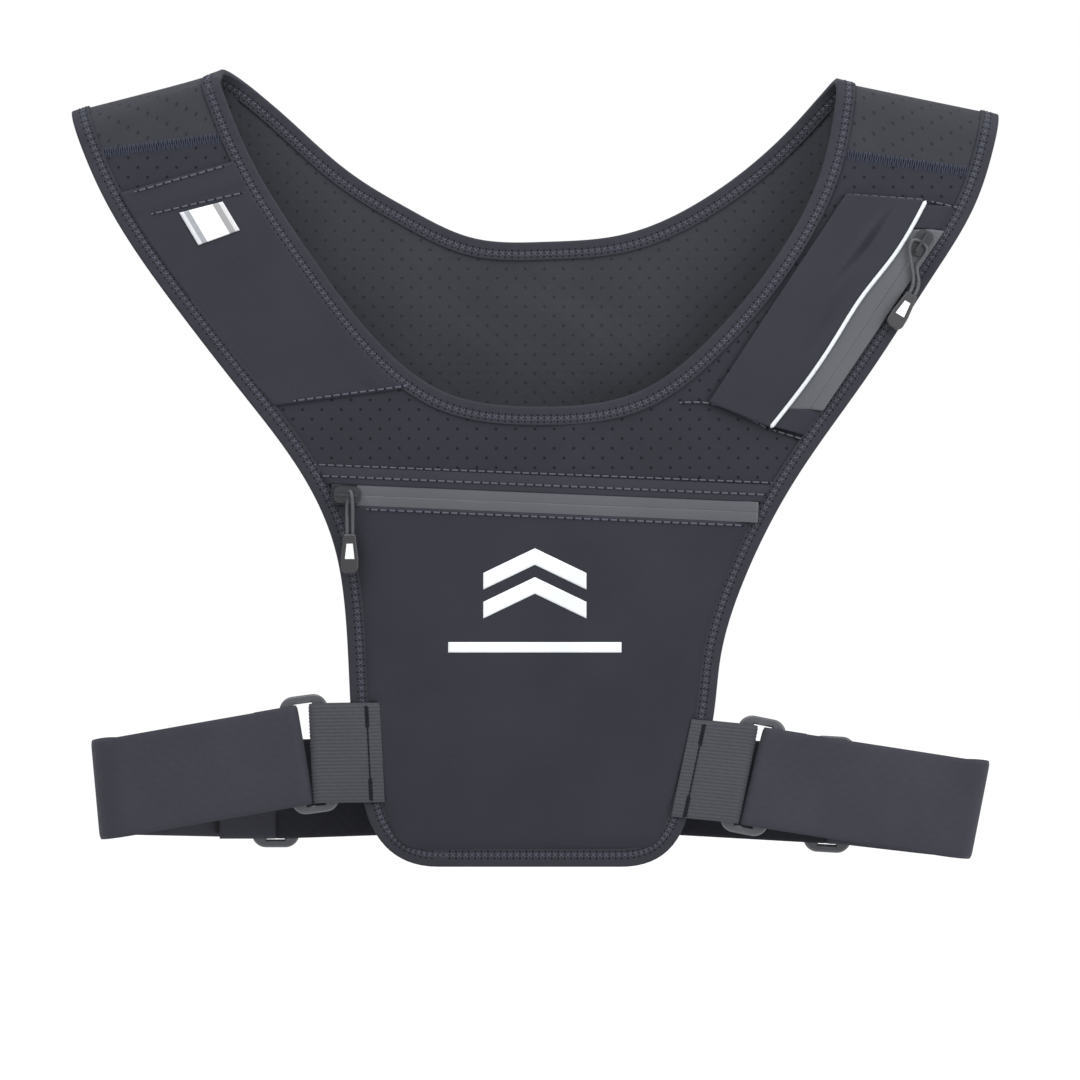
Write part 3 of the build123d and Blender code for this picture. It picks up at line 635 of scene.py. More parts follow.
left_run, right_run = edge_run(left_arm, left_fold, -1), edge_run(right_arm, right_fold, 1)
outer_path = closed_path(
    np.vstack([left_run[0], right_run[0][::-1]]), np.r_[left_run[1], right_run[1][::-1]], 1.1 * mm
)
front_part, back_part = neck_part(front_neck), neck_part(back_neck)
over_left, over_right = neck_over(left_fold), neck_over(right_fold)
neck_path = closed_path(
    np.vstack([front_part, over_right[0], back_part[::-1], over_left[0][::-1]]),
    np.r_[np.zeros(240), over_right[1], np.full(240, math.pi), over_left[1][::-1]], 1.1 * mm,
)
print("binding lengths", round(outer_path[3][-1], 3), round(neck_path[3][-1], 3))


# %% Folded binding and its zigzag
zigzag_period = 6.2 * mm
row_out, row_in = 3.5 * mm, 6.8 * mm


def zigzag(s, phase=0.0):
    """Distance in from the edge of the zigzag: a triangle wave between the two needle rows."""
    share = np.abs((s / zigzag_period + phase) % 1 * 2 - 1)
    return row_out + (row_in - row_out) * share


def binding(name, route):
    """The folded tape. Its face sinks in a bell along the two crossing threads, bulges
    between them, and turns round the cut edge in a half circle."""
    path, out, inward, s = route
    depth = np.array([8.3, 8.2, 7.8, 7.3, 6.8, 6.3, 5.8, 5.2, 4.6, 4.0, 3.5, 2.9, 2.0, 0.8]) * mm
    turn = np.linspace(math.pi / 2, -math.pi / 2, 9)
    lip = np.r_[0.9, np.full(13, 1.0)]
    half = foam / 2
    cloth_out = (0.25 + 0.6 * np.abs(out[:, 1:2])) * mm
    face_b = depth[None, :] + 0 * s[:, None]
    pulled = 0.0
    for phase in (0.0, 0.5):
        pulled = pulled + np.exp(-(((face_b - zigzag(s, phase)[:, None]) / (0.7 * mm)) ** 2))
    face_n = half + cloth_out * lip * (1 - 0.38 * np.minimum(pulled, 1.2))
    round_b = -0.75 * mm * np.cos(turn)[None, :] + 0 * s[:, None]
    round_n = (half + cloth_out) * np.sin(turn)[None, :] + 0 * s[:, None]
    b = np.hstack([face_b, round_b, face_b[:, ::-1], face_b[:, :1]])
    n = np.hstack([face_n, round_n, -face_n[:, ::-1], face_n[:, :1]])
    points = path[:, None] + b[..., None] * inward[:, None] + n[..., None] * out[:, None]
    around = np.cumsum(np.abs(np.gradient(b, axis=1)), axis=1)
    uv = np.stack([np.broadcast_to(s[:, None], b.shape), around], axis=-1)
    return make_piece(name, [(points, uv)], merge=1e-5)


def tube(path, out, radius, sides=6, closed=False):
    """Round thread: a circle carried along the path, drawn to a point at each open end."""
    way = np.gradient(path, axis=0)
    way /= np.linalg.norm(way, axis=1)[:, None] + 1e-12
    across = np.cross(way, out)
    across /= np.linalg.norm(across, axis=1)[:, None] + 1e-12
    normal = np.cross(across, way)
    r = np.full(len(path), radius)
    if not closed:
        r[0] = r[-1] = radius * 0.02
    angle = np.linspace(0, 2 * math.pi, sides + 1)
    ring = np.cos(angle)[None, :, None] * across[:, None] + np.sin(angle)[None, :, None] * normal[:, None]
    points = path[:, None] + r[:, None, None] * ring
    s = lengths(path)
    uv = np.stack(np.broadcast_arrays(s[:, None], angle[None, :] * radius), axis=-1)
    return points, uv


# Dark lozenges of painted shade, one in each needle hole, gathered into one piece.
needle_hole_shades = []


def add_needle_hole_shade(centre, way, out, long=2.1 * mm, wide=0.72 * mm):
    """Painted shade of a needle hole: a flat dark lozenge, pointed at both ends, where a needle went in."""
    spot = centre + np.array([-0.5, 0, 0.5])[:, None] * long * way
    needle_hole_shades.append(tube(spot, np.broadcast_to(out, (3, 3)), wide, 4))


def zigzag_thread(route, side, phase):
    """Thread on the binding's face: it follows the zigzag and dips in at each needle hole,
    where a dark lozenge is painted as the hole's shade."""
    path, out, inward, s = route
    fine = np.arange(0, s[-1], zigzag_period / 10)
    b = zigzag(fine, phase)
    base, normal, into = (sample(values, s, fine) for values in (path, out, inward))
    base = base + b[:, None] * into
    hole = np.minimum(np.abs(b - row_out), np.abs(b - row_in)) / (0.8 * mm)
    n = foam / 2 + (0.12 + 0.62 * np.abs(normal[:, 1]) - 0.6 * np.exp(-(hole**2))) * mm
    for k in range(5, len(fine) - 5, 5):
        way = np.cross(normal[k], into[k])
        raised = (0.25 + 0.6 * abs(normal[k, 1]) - 0.36) * mm
        add_needle_hole_shade(base[k] + side * normal[k] * (foam / 2 + raised), way, side * normal[k])
    return tube(base + side * n[:, None] * normal, normal, 0.36 * mm, 5)


outer_tape = binding("outer_edge_binding", outer_path)
neck_tape = binding("neck_edge_binding", neck_path)
finish_piece(outer_tape, binding_knit, "vest", "binding", "outer_binding")
finish_piece(neck_tape, binding_knit, "vest", "binding", "neck_binding")
for name, route in (("outer_binding_thread", outer_path), ("neck_binding_thread", neck_path)):
    runs = [zigzag_thread(route, side, phase) for side in (1, -1) for phase in (0.0, 0.5)]
    sewn(name, runs, binding_thread)


# %% [markdown]
# ## Stitch rows
# A lockstitch shows as a row of short raised dashes with a dimple where the needle went
# in. One long thread that rises and dips along the row gives both, with few faces.

# %% Stitch rows
def stitch_row(flat, level_of, pitch=4.3 * mm, radius=0.42 * mm, turn=0.0):
    """Thread along a line in the front view: its level is the cloth's plus a wave that is up
    for most of each pitch and dips under the cloth once in it, at a needle hole
    whose shade is painted as a dark lozenge."""
    s = lengths(flat)
    fine = np.linspace(0, s[-1], max(8, int(s[-1] / pitch * 8)))
    facing = math.cos(turn)

    def on_cloth(where, lift):
        line = sample(flat, s, where)
        return stand(line, level_of(line[:, 0], line[:, 1]) + lift * facing)

    up = 0.2 * mm - 0.9 * mm * (0.5 - 0.5 * np.cos(2 * math.pi * fine / pitch)) ** 5
    path = on_cloth(fine, up)
    out = np.array([0.0, -facing, 0.0])
    way = unit(path[-1] - path[0])
    for spot in on_cloth(np.arange(pitch / 2, s[-1], pitch), -0.1 * mm):
        add_needle_hole_shade(spot, way, out, 2.4 * mm, 0.8 * mm)
    return tube(path, np.broadcast_to(out, path.shape), radius)


def straight(start, end, count=60):
    """Evenly spaced points between two places given in millimetres."""
    t = np.linspace(0, 1, count)[:, None]
    return (np.array(start) * (1 - t) + np.array(end) * t) * mm


def body_level(x, z):
    return hang(np.stack([x, z], axis=-1), 0.0)


# %% [markdown]
# ## Phone pocket
# The pocket front is smooth stretch knit sewn down at the sides and hem and open along
# the zip. Even empty it stands a little proud, so its level rises from each sewn border
# to its full depth, and it is pressed flat where the webbing tabs are sewn over it.

# %% Pocket front
tuck = binding_width - 1.2 * mm
knit_thickness = 0.9 * mm
left_inset, right_inset = beside(left_arm, tuck), beside(right_arm, -tuck)
zip_way = unit(main_zip[1] - main_zip[0])
zip_up = np.array([-zip_way[1], zip_way[0]])


def under_tab(x, z):
    """1 under a sewn webbing tab, 0 outside it, with soft borders."""
    hidden = 0.0
    for end, lean, side in ((left_tab_line[1], -3, -1), (right_tab_line[1], 11.9, 1)):
        a = math.radians(lean)
        out = (x - end[0]) * side * math.cos(a) - (z - end[1]) * side * math.sin(a)
        up = (x - end[0]) * math.sin(a) + (z - end[1]) * math.cos(a)
        inside = 1 / (1 + np.exp(-(out + 0.5 * mm) / (0.5 * mm)))
        hidden = np.maximum(hidden, inside / (1 + np.exp((np.abs(up) - 25 * mm) / (0.5 * mm))))
    return hidden


def pocket_rise(border):
    """Share of the pocket's depth at a distance from its sewn border."""
    return 1 - np.exp(-np.maximum(border, 0) / (3.2 * mm))


def side_border(x, z):
    """Distance from the nearest sewn side or the hem, measured in the front view."""
    left = x - np.interp(-z, -left_inset[:, 1], left_inset[:, 0])
    right = np.interp(-z, -right_inset[:, 1], right_inset[:, 0]) - x
    return np.minimum(np.minimum(left, right), z - hem_z - tuck)


def pocket_level(x, z):
    """Level of the pocket's face: neoprene, plus the depth, less where a tab presses it."""
    depth = (pocket_skin - skin) * pocket_rise(side_border(x, z)) * (1 - 0.93 * under_tab(x, z))
    swell = 0.35 * mm * np.sin(x / 0.03 + 0.4) * np.sin(z / 0.045) * calm(x, z, hardware, 25 * mm)
    return skin + drape(x, z) * 0.4 + depth + swell


def between_cuts(left, right, top, foot_level, rows, cut):
    """Left and right ends of rows from a slanting top line down to a rounded foot."""
    ends = []
    for line, side in ((left, -1), (right, 1)):
        stop, corner = hem_corner(line, side, foot_level, cut)
        ends.append(np.vstack([part_of(line, meet(line, *top), stop, rows), corner[1:]]))
    return ends


tape_foot, tape_head = main_zip - zip_up * half_tape, main_zip + zip_up * half_tape
ends = between_cuts(left_inset, right_inset, tape_foot, hem_z + tuck, 90, 16 * mm)
pocket_flat = row_grid(*ends, 110)
phone_pocket = laid("phone_pocket_front", pocket_flat, pocket_level, knit_thickness)
finish_piece(phone_pocket, plain_knit, "vest", "pocket_cloth", "main_pocket_panel")
lining = laid("phone_pocket_lining", pocket_flat, skin + 0.2 * mm, 0.15 * mm)
finish_piece(lining, plain_knit, "vest", "lining", "main_pocket_lining")

# %% Welt above the zip
welt_top = main_zip + zip_up * 14 * mm
welt_ends = [between(line, welt_top, tape_head, 14) for line in (left_inset, right_inset)]
welt_flat = row_grid(*welt_ends, 120)


def welt_level(x, z):
    """Level of the welt: full depth at the zip, falling to the neoprene at its top seam."""
    up = (x - main_zip[0][0]) * zip_up[0] + (z - main_zip[0][1]) * zip_up[1] - half_tape
    rise = np.clip(1 - (up / (9 * mm)) ** 2, 0, 1) * pocket_rise(side_border(x, z) + 1 * mm)
    return body_level(x, z) + 0.3 * mm + (pocket_skin - skin - 0.3 * mm) * rise


welt = laid("main_zip_cloth_welt", welt_flat, welt_level, knit_thickness)
finish_piece(welt, plain_knit, "vest", "pocket_cloth", "main_zip_welt")

# %% Pocket stitches
pocket_rows = [
    stitch_row(straight((-107.5, -179.4), (115.5, -188.3), 200), lambda x, z: body_level(x, z) + 0.35 * mm),
    stitch_row(straight((-105.5, -184.9), (112, -194.1), 200), welt_level),
    stitch_row(straight((-82, -201.2), (101, -209), 200), pocket_level),
]
sewn("phone_pocket_stitches", pocket_rows, thread)


# %% [markdown]
# ## Coated zips
# A water-repellent zip hides its coil behind two coated tapes whose lips meet over it.
# Each tape is a strip with a rounded lip, level with the pocket, and the slider's neck
# runs between the lips.

# %% Zip tapes
tape_thickness = 0.5 * mm
tape_face = pocket_skin - 0.12 * mm


def tape_strip(name, near, far, replaced):
    """Strip from the zip's middle line to its sewn border. The lip's edge turns down in a
    quarter circle and the rest bows up very slightly."""
    share = np.linspace(0, 1, 16)
    flat = near[:, None] * (1 - share[:, None]) + far[:, None] * share[:, None]
    inside = share * np.linalg.norm(far - near, axis=1)[:, None]
    lip = 0.04 * mm * np.exp(-((inside / (0.3 * mm)) ** 2))
    level = tape_face - lip + 0.12 * mm * np.sin(math.pi * share)
    piece = laid(name, flat, level, tape_thickness)
    return finish_piece(piece, tape_satin, "vest", "zip_tape", replaced)


reach_left = main_zip[0] + zip_way * 8.5 * mm
tape_end, reach_right = (point_at(line, meet(line, *main_zip)) for line in (left_inset, right_inset))
along_zip = row_grid(reach_left[None], reach_right[None], 160)[0]
tape_strip("main_zip_head_tape", along_zip, along_zip + zip_up * half_tape, "main_zip_upper_tape")
tape_strip("main_zip_foot_tape", along_zip, along_zip - zip_up * half_tape, "main_zip_lower_tape")

# %% Zip end cloth
end_rows = np.linspace(1, -1, 12)[:, None] * half_tape * zip_up
end_flat = row_grid(tape_end + end_rows, reach_left + end_rows, 16)
zip_end = laid("main_zip_end_cloth", end_flat, pocket_skin - 0.2 * mm, tape_thickness)
finish_piece(zip_end, plain_knit, "vest", "pocket_cloth")

# %% [markdown]
# ## Strap pockets
# The viewer's left strap has a flat slip pocket with a hemmed mouth and a reflective tag.
# The right one has a zipped pocket: a smooth front, reflective piping along its edge, and
# a coated zip beside the piping. All of them are ruled between two pattern lines.

# %% Slip pocket
neck_inset = beside(front_neck, -tuck)
mouth = np.array([(-197, -46.5), (-150, -33.3)]) * mm
foot = np.array([(-123.5, -150.5), (-59, -142)]) * mm


def slip_level(x, z):
    """Level of the slip pocket: a thin cloth that lies on the strap, thicker at its hem."""
    a, way = mouth[0], unit(mouth[1] - mouth[0])
    down = (x - a[0]) * way[1] - (z - a[1]) * way[0]
    hem = 0.5 * mm / (1 + np.exp((down - 12 * mm) / (0.6 * mm)))
    return body_level(x, z) + 0.85 * mm + hem


slip_flat = row_grid(between(left_inset, mouth, foot, 90), between(neck_inset, mouth, foot, 90), 44)
slip_pocket = laid("slip_pocket_front", slip_flat, slip_level, 0.8 * mm)
finish_piece(slip_pocket, plain_knit, "vest", "pocket_cloth", "slip_pocket_panel")
slip_rows = [
    stitch_row(straight((-194.5, -47.3), (-150, -34.5)), slip_level),
    stitch_row(straight((-186.5, -58), (-141.5, -47.5)), slip_level),
    stitch_row(straight((-117.5, -148.6), (-62, -141.2)), slip_level),
]
sewn("slip_pocket_stitches", slip_rows, thread)

# %% Reflective tag
tag_corners = np.array([(-172.5, -57.3), (-151.4, -51.9), (-143.1, -65.7), (-163.2, -73)]) * mm
share = np.linspace(0, 1, 24)
tag_left = tag_corners[0] + (tag_corners[3] - tag_corners[0]) * share[:, None]
tag_right = tag_corners[1] + (tag_corners[2] - tag_corners[1]) * share[:, None]
tag_flat = row_grid(tag_left, tag_right, 24)
tag_points, _ = place(tag_flat, slip_level(tag_flat[..., 0], tag_flat[..., 1]) + 0.5 * mm)
tag_uv = np.stack(np.meshgrid(share, share), axis=-1)
tag = make_piece("strap_reflective_tag", [(tag_points, tag_uv)], facing=forward, thickness=0.45 * mm)
tag_cloth, tree, shader = new_material("tag_cloth", (0.8, 0.8, 0.8), 0.5)
tag_place = node(tree, "ShaderNodeUVMap", uv_map="pattern").outputs[0]
across = node(tree, "ShaderNodeSeparateXYZ", {0: tag_place})
bands = node(tree, "ShaderNodeValToRGB", {"Fac": across.outputs[0]})
bands.color_ramp.interpolation = "CONSTANT"
bands.color_ramp.elements[0].color = (0.38, 0.39, 0.41, 1)
bands.color_ramp.elements[1].position = 0.1
bands.color_ramp.elements[1].color = (0.19, 0.20, 0.22, 1)
for position, colour in ((0.22, 0.52), (0.76, 0.19), (0.9, 0.38)):
    bands.color_ramp.elements.new(position).color = (colour, colour, colour * 1.03, 1)
tree.links.new(bands.outputs[0], shader.inputs["Base Color"])
grain = node(tree, "ShaderNodeTexVoronoi", {"Vector": tag_place, "Scale": 60.0})
beads = node(tree, "ShaderNodeBump", {"Height": grain.outputs[0], "Strength": 0.2, "Distance": 0.0002})
tree.links.new(beads.outputs[0], shader.inputs["Normal"])
finish_piece(tag, tag_cloth, "vest", "reflective", "reflective_tag")

# %% Zipped strap pocket
piping_line = smooth_line(
    [(189.6, -51.4), (174.9, -77), (158.3, -98.5), (146, -118), (132.8, -137.7), (114.2, -161.7)], 120
)
free_edge = straight((150.9, -48.2), (84.3, -149.2), 120)


def strap_pocket_level(flat):
    """Level over one ruled patch: it rises fast from its free edge, stays full to the
    piping, and two slanting creases are pressed into it."""
    x, z = flat[..., 0], flat[..., 1]
    wide = np.linalg.norm(flat[:, -1] - flat[:, 0], axis=1)[:, None]
    from_edge = np.linspace(0, 1, flat.shape[1])[None, :] * wide
    rise = 0.75 + 0.25 * pocket_rise(from_edge)
    down = np.linspace(0, 1, flat.shape[0])[:, None]
    creases = 1.1 * np.sin(math.pi * down) * np.exp(-from_edge / (4 * mm))
    creases = creases - ridge(x, z, (175, -54), (153, -84), 1.1 * mm) * 1.2
    creases = creases + ridge(x, z, (171, -54), (148, -86), 1.8 * mm) * 1.0
    creases = creases - ridge(x, z, (168, -62), (143, -96), 1.2 * mm) * 0.9
    creases = creases - ridge(x, z, (158, -88), (128, -132), 3.5 * mm) * 0.9
    return skin + (pocket_skin - skin) * rise + creases * mm


strap_flat = row_grid(free_edge, beside(piping_line, -0.6 * mm), 48)
strap_pocket = laid("strap_pocket_front", strap_flat, strap_pocket_level(strap_flat), 1.3 * mm)
finish_piece(strap_pocket, plain_knit, "vest", "pocket_cloth", "zip_pocket_panel")

piping_path = stand(piping_line, pocket_skin + 0.15 * mm)
piping_tube = tube(piping_path, np.broadcast_to(forward, piping_path.shape), 1.0 * mm, 12)
piping = make_piece("silver_piping", [piping_tube], merge=1e-6)
finish_piece(piping, silver, "vest", "piping", "zip_pocket_piping")

# %% Strap zip and its end patches
tape_edge = straight((198.5, -66.2), (139.7, -153.4), 120)
beside_piping = beside(piping_line, 0.6 * mm)
piping_cuts = straight((150, -62.6), (200, -67), 2), straight((100, -151.5), (150, -154), 2)
piping_side = between(beside_piping, *piping_cuts, 90)
arm_side = part_of(tape_edge, 0, lengths(tape_edge)[-1], 90)
zip_middle = straight((191.6, -65.4), (133.6, -152.6), 90)
tape_strip("strap_zip_neck_tape", zip_middle, piping_side, "shoulder_zip_inner_tape")
tape_strip("strap_zip_arm_tape", zip_middle, arm_side, "shoulder_zip_outer_tape")


def patch_grid(start, end, count):
    """Smooth patch between the piping and the arm binding, between two slanting cuts."""
    cuts = straight(*start, 2), straight(*end, 2)
    near, far = (between(line, *cuts, count) for line in (beside_piping, right_inset))
    flat = row_grid(near, far, 30)
    border = np.linspace(1, 0, 30)[None, :] * np.linalg.norm(far - near, axis=1)[:, None]
    level = skin + (pocket_skin - skin + 0.15 * mm) * (0.15 + 0.85 * pocket_rise(border))
    return place(flat, level)


patches = make_piece(
    "strap_zip_end_patches",
    [
        patch_grid(((100, -49.6), (230, -55.5)), ((100, -58.5), (230, -68.5)), 14),
        patch_grid(((100, -151.4), (150, -153.6)), ((100, -156.6), (150, -170.6)), 14),
    ],
    facing=forward, thickness=0.8 * mm,
)
finish_piece(patches, plain_knit, "vest", "pocket_cloth", "zip_pocket_facing")
strap_seams = (
    (smooth_line([(70, -149.4), (84.3, -149.6), (99, -154.5), (113, -161.8)], 60), 0.5),
    (straight((115.5, -162.6), (131.5, -167.6)), 0.9),
    (straight((152, -48.4), (188.5, -50.9)), 1.3),
    (straight((192, -51.8), (205, -54.8)), 1.6),
)
strap_rows = [stitch_row(line, lambda x, z, up=up: body_level(x, z) + up * mm) for line, up in strap_seams]
sewn("strap_pocket_stitches", strap_rows, thread)


# %% [markdown]
# ## Flat shoulder seams
# The front and back pieces butt together over each collar bone under a flat seam: many
# threads laid side by side across the join. Each thread is a tiny low arch.

# %% Flat seams
def flat_seam(name, seam, arm, replaced):
    """Arches across the join: one path that goes up and down across the seam's width, a
    half turn each pitch, so that the threads lie side by side."""
    start, finish = (point_at(line, meet(line, *seam)) for line in (arm, neck_line_for(seam)))
    long = np.linalg.norm(finish - start)
    way = (finish - start) / long
    up = np.array([-way[1], way[0]]) * (1 if way[0] > 0 else -1)
    margin, pitch = 7.6 * mm, 1.1 * mm
    s = np.linspace(margin, long - margin, int((long - 2 * margin) / pitch * 10))
    swing = np.clip(1.6 * np.sin(math.pi * (s - margin) / pitch), -1, 1)
    flat = start + way * s[:, None] + up * (swing * 2.4 * mm)[:, None]
    level = body_level(flat[:, 0], flat[:, 1]) + 0.28 * mm - 0.35 * mm * np.abs(swing) ** 8
    path = stand(flat, level)
    sewn(name, [tube(path, np.broadcast_to(forward, path.shape), 0.27 * mm, 5)], seam_thread, replaced)


def neck_line_for(seam):
    """Half of the front neckline on the seam's side, from its lowest point up."""
    return front_neck[front_neck[:, 0] * np.sign(seam[0, 0]) > lowest(front_neck)[1][0]]


seam_thread = cloth("flat_seam_thread", (0.03, 0.035, 0.054), weave=0.3 * mm, relief=0.3)
flat_seam("left_flat_seam", left_seam, left_arm, "left_shoulder_seam")
flat_seam("right_flat_seam", right_seam, right_arm, "right_shoulder_seam")

# %% [markdown]
# ## Printed mark
# The chest carries a generic print in reflective film, two stacked chevrons over a bar.
# Each arm is a small ruled patch that lies on the pocket's own surface.

# %% Chevrons and bar
def film_patch(corners, columns=30, rows=8):
    """Patch between four corners, a hair above the pocket's face."""
    a, b, c, d = (np.array(corner) * mm for corner in corners)
    t = np.linspace(0, 1, rows)[:, None]
    flat = row_grid(a * (1 - t) + d * t, b * (1 - t) + c * t, columns)
    return place(flat, lambda x, z: pocket_level(x, z) + 0.12 * mm)


chevron_arm, chevron_rise, chevron_width, chevron_pitch = 25, 12, 8, 14
film_grids = []
for step in (0, 1):
    z = -246 + step * chevron_pitch
    for side in (-1, 1):
        tip, peak = (side * chevron_arm, z), (0, z + chevron_rise)
        below = [(x, height - chevron_width) for x, height in (peak, tip)]
        film_grids.append(film_patch([tip, peak, *below]))
film_grids.append(film_patch([(-42, -265.5), (42, -265.5), (42, -270.5), (-42, -270.5)], 60))
chest_print = make_piece("chest_film_print", film_grids, facing=forward, thickness=0.08 * mm)
finish_piece(chest_print, film, "vest", "print", "reflective_print")


# %% [markdown]
# ## Straps
# Webbing and elastic are flat bands. A band is a thin rounded cross-section carried along
# a path that lies flat, turns round a ring's bar and doubles back, with the band's width
# leaning a little where the strap does.

# %% Bands
def band(name, path, lean, width, thickness, ribs=0, rib_height=0.0):
    """Closed thin section carried along a path: the width runs along the leaning upright,
    the thickness square to it and to the path. Ribs are a cosine across the width."""
    a = np.radians(lean)
    upright = np.stack([np.sin(a), np.zeros(len(a)), np.cos(a)], axis=1)
    out = unit(np.cross(unit(np.gradient(path, axis=0)), upright))
    across = np.linspace(-1, 1, 6 * ribs + 1 if ribs else 33)
    shape = thickness / 2 * (1 - np.abs(across) ** 24 * 0.75)
    bumps = rib_height * (0.5 + 0.5 * np.cos(math.pi * ribs * across)) if ribs else 0
    w = np.r_[across, across[::-1], across[:1]] * width / 2
    n = np.r_[shape + bumps, -(shape + bumps)[::-1], (shape + bumps)[:1]]
    points = path[:, None] + w[None, :, None] * upright[:, None] + n[None, :, None] * out[:, None]
    s = lengths(path)
    uv = np.stack(np.broadcast_arrays(s[:, None], (w + np.sign(n) * width)[None, :]), axis=-1)
    ends = []
    for k, flip in ((0, 1), (-1, -1)):
        half = len(across)
        rim = points[k][:half], points[k][half : 2 * half][::-1]
        cap = np.stack([rim[0], (rim[0] + rim[1]) / 2, rim[1]], axis=0)
        ends.append((cap, np.broadcast_to(uv[k][:half], (3, half, 2)).copy()))
    return make_piece(name, [(points, uv)] + ends, merge=0.00002)


def arc(centre, out, radius, start, end, count=15):
    """Turn round a bar: a part circle about the upright, angle 0 being straight outward and
    90 degrees forward. centre is in the front view, with its level third."""
    angle = np.radians(np.linspace(start, end, count))
    flat = np.array(centre[:2]) + np.outer(np.cos(angle) * radius, out)
    return stand(flat, centre[2] + np.sin(angle) * radius)


def outward(lean, side):
    """Unit step away from the body, square to an upright that leans by this much."""
    a = math.radians(lean)
    return np.array([side * math.cos(a), -side * math.sin(a)])


ring_level, fold_radius = skin - foam / 2, 2.8 * mm
bar_axis = 5.7 * mm
strap_width, elastic_thickness = 48.5 * mm, 1.6 * mm
return_length, tail_length = 18 * mm, 25 * mm
turn_drop = 2.5 * mm
loop_radius = ring_level + fold_radius


def even_path(parts, leans, spacing=1.6 * mm):
    """Joins the runs of a path, spaces it evenly and carries the lean along with it."""
    points = np.vstack(parts)
    lean = np.concatenate([np.broadcast_to(l, len(p)) for p, l in zip(parts, leans)])
    keep = np.r_[True, np.linalg.norm(np.diff(points, axis=0), axis=1) > 1e-7]
    points, lean = points[keep], lean[keep]
    s = lengths(points)
    even = np.linspace(0, s[-1], int(s[-1] / spacing))
    return sample(points, s, even), np.interp(even, s, lean)


def line3(a, b, count=40):
    """Evenly spaced points between two places in space."""
    t = np.linspace(0, 1, count)[:, None]
    return a * (1 - t) + b * t


def elastic(side_name, front, rear, turn, side, slack):
    """Elastic strap: back ply, round the front bar, out along the front, round at the side,
    back behind, round the rear bar and doubled back. A slow wave lifts its free run, and
    slack lets a fold sit off its bar and out of line with it."""
    (fx, fz, fl), (rx, rz, rl), (tx, tz, tl) = front, rear, turn
    along = np.linspace(0, math.pi, 40)
    front_slack, front_twist, rear_slack = slack
    bar = np.array([fx, fz]) * mm + outward(fl, side) * (bar_axis - front_slack * mm)
    rear_bar = np.array([rx, rz]) * mm + outward(rl, side) * (bar_axis - rear_slack * mm)
    turn_at = np.array([tx, tz]) * mm
    f_out = unit(turn_at - bar)
    r_out = outward(rl, side)
    fl = fl + front_twist
    inner = ring_level - fold_radius
    first = line3(stand(bar + f_out * return_length, inner), stand(bar, inner), 12)
    second = arc((*bar, ring_level), f_out, fold_radius, 270, 90)
    third = line3(stand(bar, loop_radius), stand(turn_at, loop_radius))
    third[:, 1] -= 0.5 * mm * np.sin(2 * along) * np.sin(along)
    fourth = arc((*turn_at, 0.0), f_out, loop_radius, 90, -90, 31)
    rear_turn = turn_at - np.array([0, turn_drop])
    other = arc((*rear_turn, 0.0), r_out, loop_radius, 90, -90, 31)
    drift = 0.5 - 0.5 * np.cos(np.r_[np.zeros(15), np.linspace(0, math.pi, 16)])
    fourth = fourth + (other - fourth) * drift[:, None]
    fifth = line3(stand(rear_turn, -loop_radius), stand(rear_bar, -loop_radius))
    fifth[:, 1] += 0.4 * mm * np.sin(along) ** 2
    sixth = arc((*rear_bar, -ring_level), r_out, fold_radius, -90, -270)
    seventh = line3(stand(rear_bar, -inner), stand(rear_bar + r_out * tail_length, -inner), 16)
    leans = [fl, fl, np.linspace(fl, tl, 40), tl, np.linspace(tl, rl, 40), rl, rl]
    path, lean = even_path([first, second, third, fourth, fifth, sixth, seventh], leans)
    piece = band(side_name + "_elastic_band", path, lean, strap_width, elastic_thickness)
    finish_piece(piece, elastic_knit, side_name + "_strap", "elastic", side_name + "_elastic")
    long = lengths(path)[-1]
    return long


left_front, left_rear, left_turn = (-109.5, -320, -7.7), (-128, -339, 0), (-197.6, -335.2, -5.2)
right_front, right_rear, right_turn = (106, -330.5, 11.3), (145.5, -341.5, 3.3), (200.6, -345.3, 11.1)
print("left elastic", elastic("left", left_front, left_rear, left_turn, -1, (0.3, -2, 3.3)))
print("right elastic", elastic("right", right_front, right_rear, right_turn, 1, (3.0, 2.5, 3.3)))


# %% Webbing tabs
left_sewn, right_sewn, left_rear_sewn, right_rear_sewn = (
    (-74, -319, -3), (71, -326.5, 11.9), (-66, -337, 0), (66, -337, 2)
)
webbing_width, webbing_thickness, webbing_ribs, rib_height = 48.3 * mm, 1.0 * mm, 28, 0.28 * mm
tab_radius = 2.95 * mm


def tab(name, front, sewn, side, level, replaced, body="vest", slack=(0, 0)):
    """Tab: from its sewn end on one face of the panel, round the ring's inner bar, and back
    to its sewn end on the other face. Slack lets the fold sit off the bar and turned."""
    (fx, fz, fl), (sx, sz, sl) = front, sewn
    f_out = outward(fl, side)
    bar = np.array([fx, fz]) * mm - f_out * (bar_axis - slack[0] * mm)
    fl = fl + slack[1]
    end = np.array([sx, sz]) * mm
    near = line3(stand(end, level + tab_radius), stand(bar, level + tab_radius), 24)
    turn = arc((*bar, level), f_out, tab_radius, 90, -90)
    far = line3(stand(bar, level - tab_radius), stand(end, level - tab_radius), 24)
    leans = [np.linspace(sl, fl, 24), fl, np.linspace(fl, sl, 24)]
    path, lean = even_path([near, turn, far], leans, 1.0 * mm)
    ribs = webbing_ribs if body else 0
    piece = band(name, path, lean, webbing_width, webbing_thickness, ribs, rib_height)
    # Rear tabs take the smooth webbing whose dark colour is painted shade.
    finish_piece(piece, webbing_weave if body else shaded_tab_webbing, body, "webbing", replaced)
    return piece, end, bar


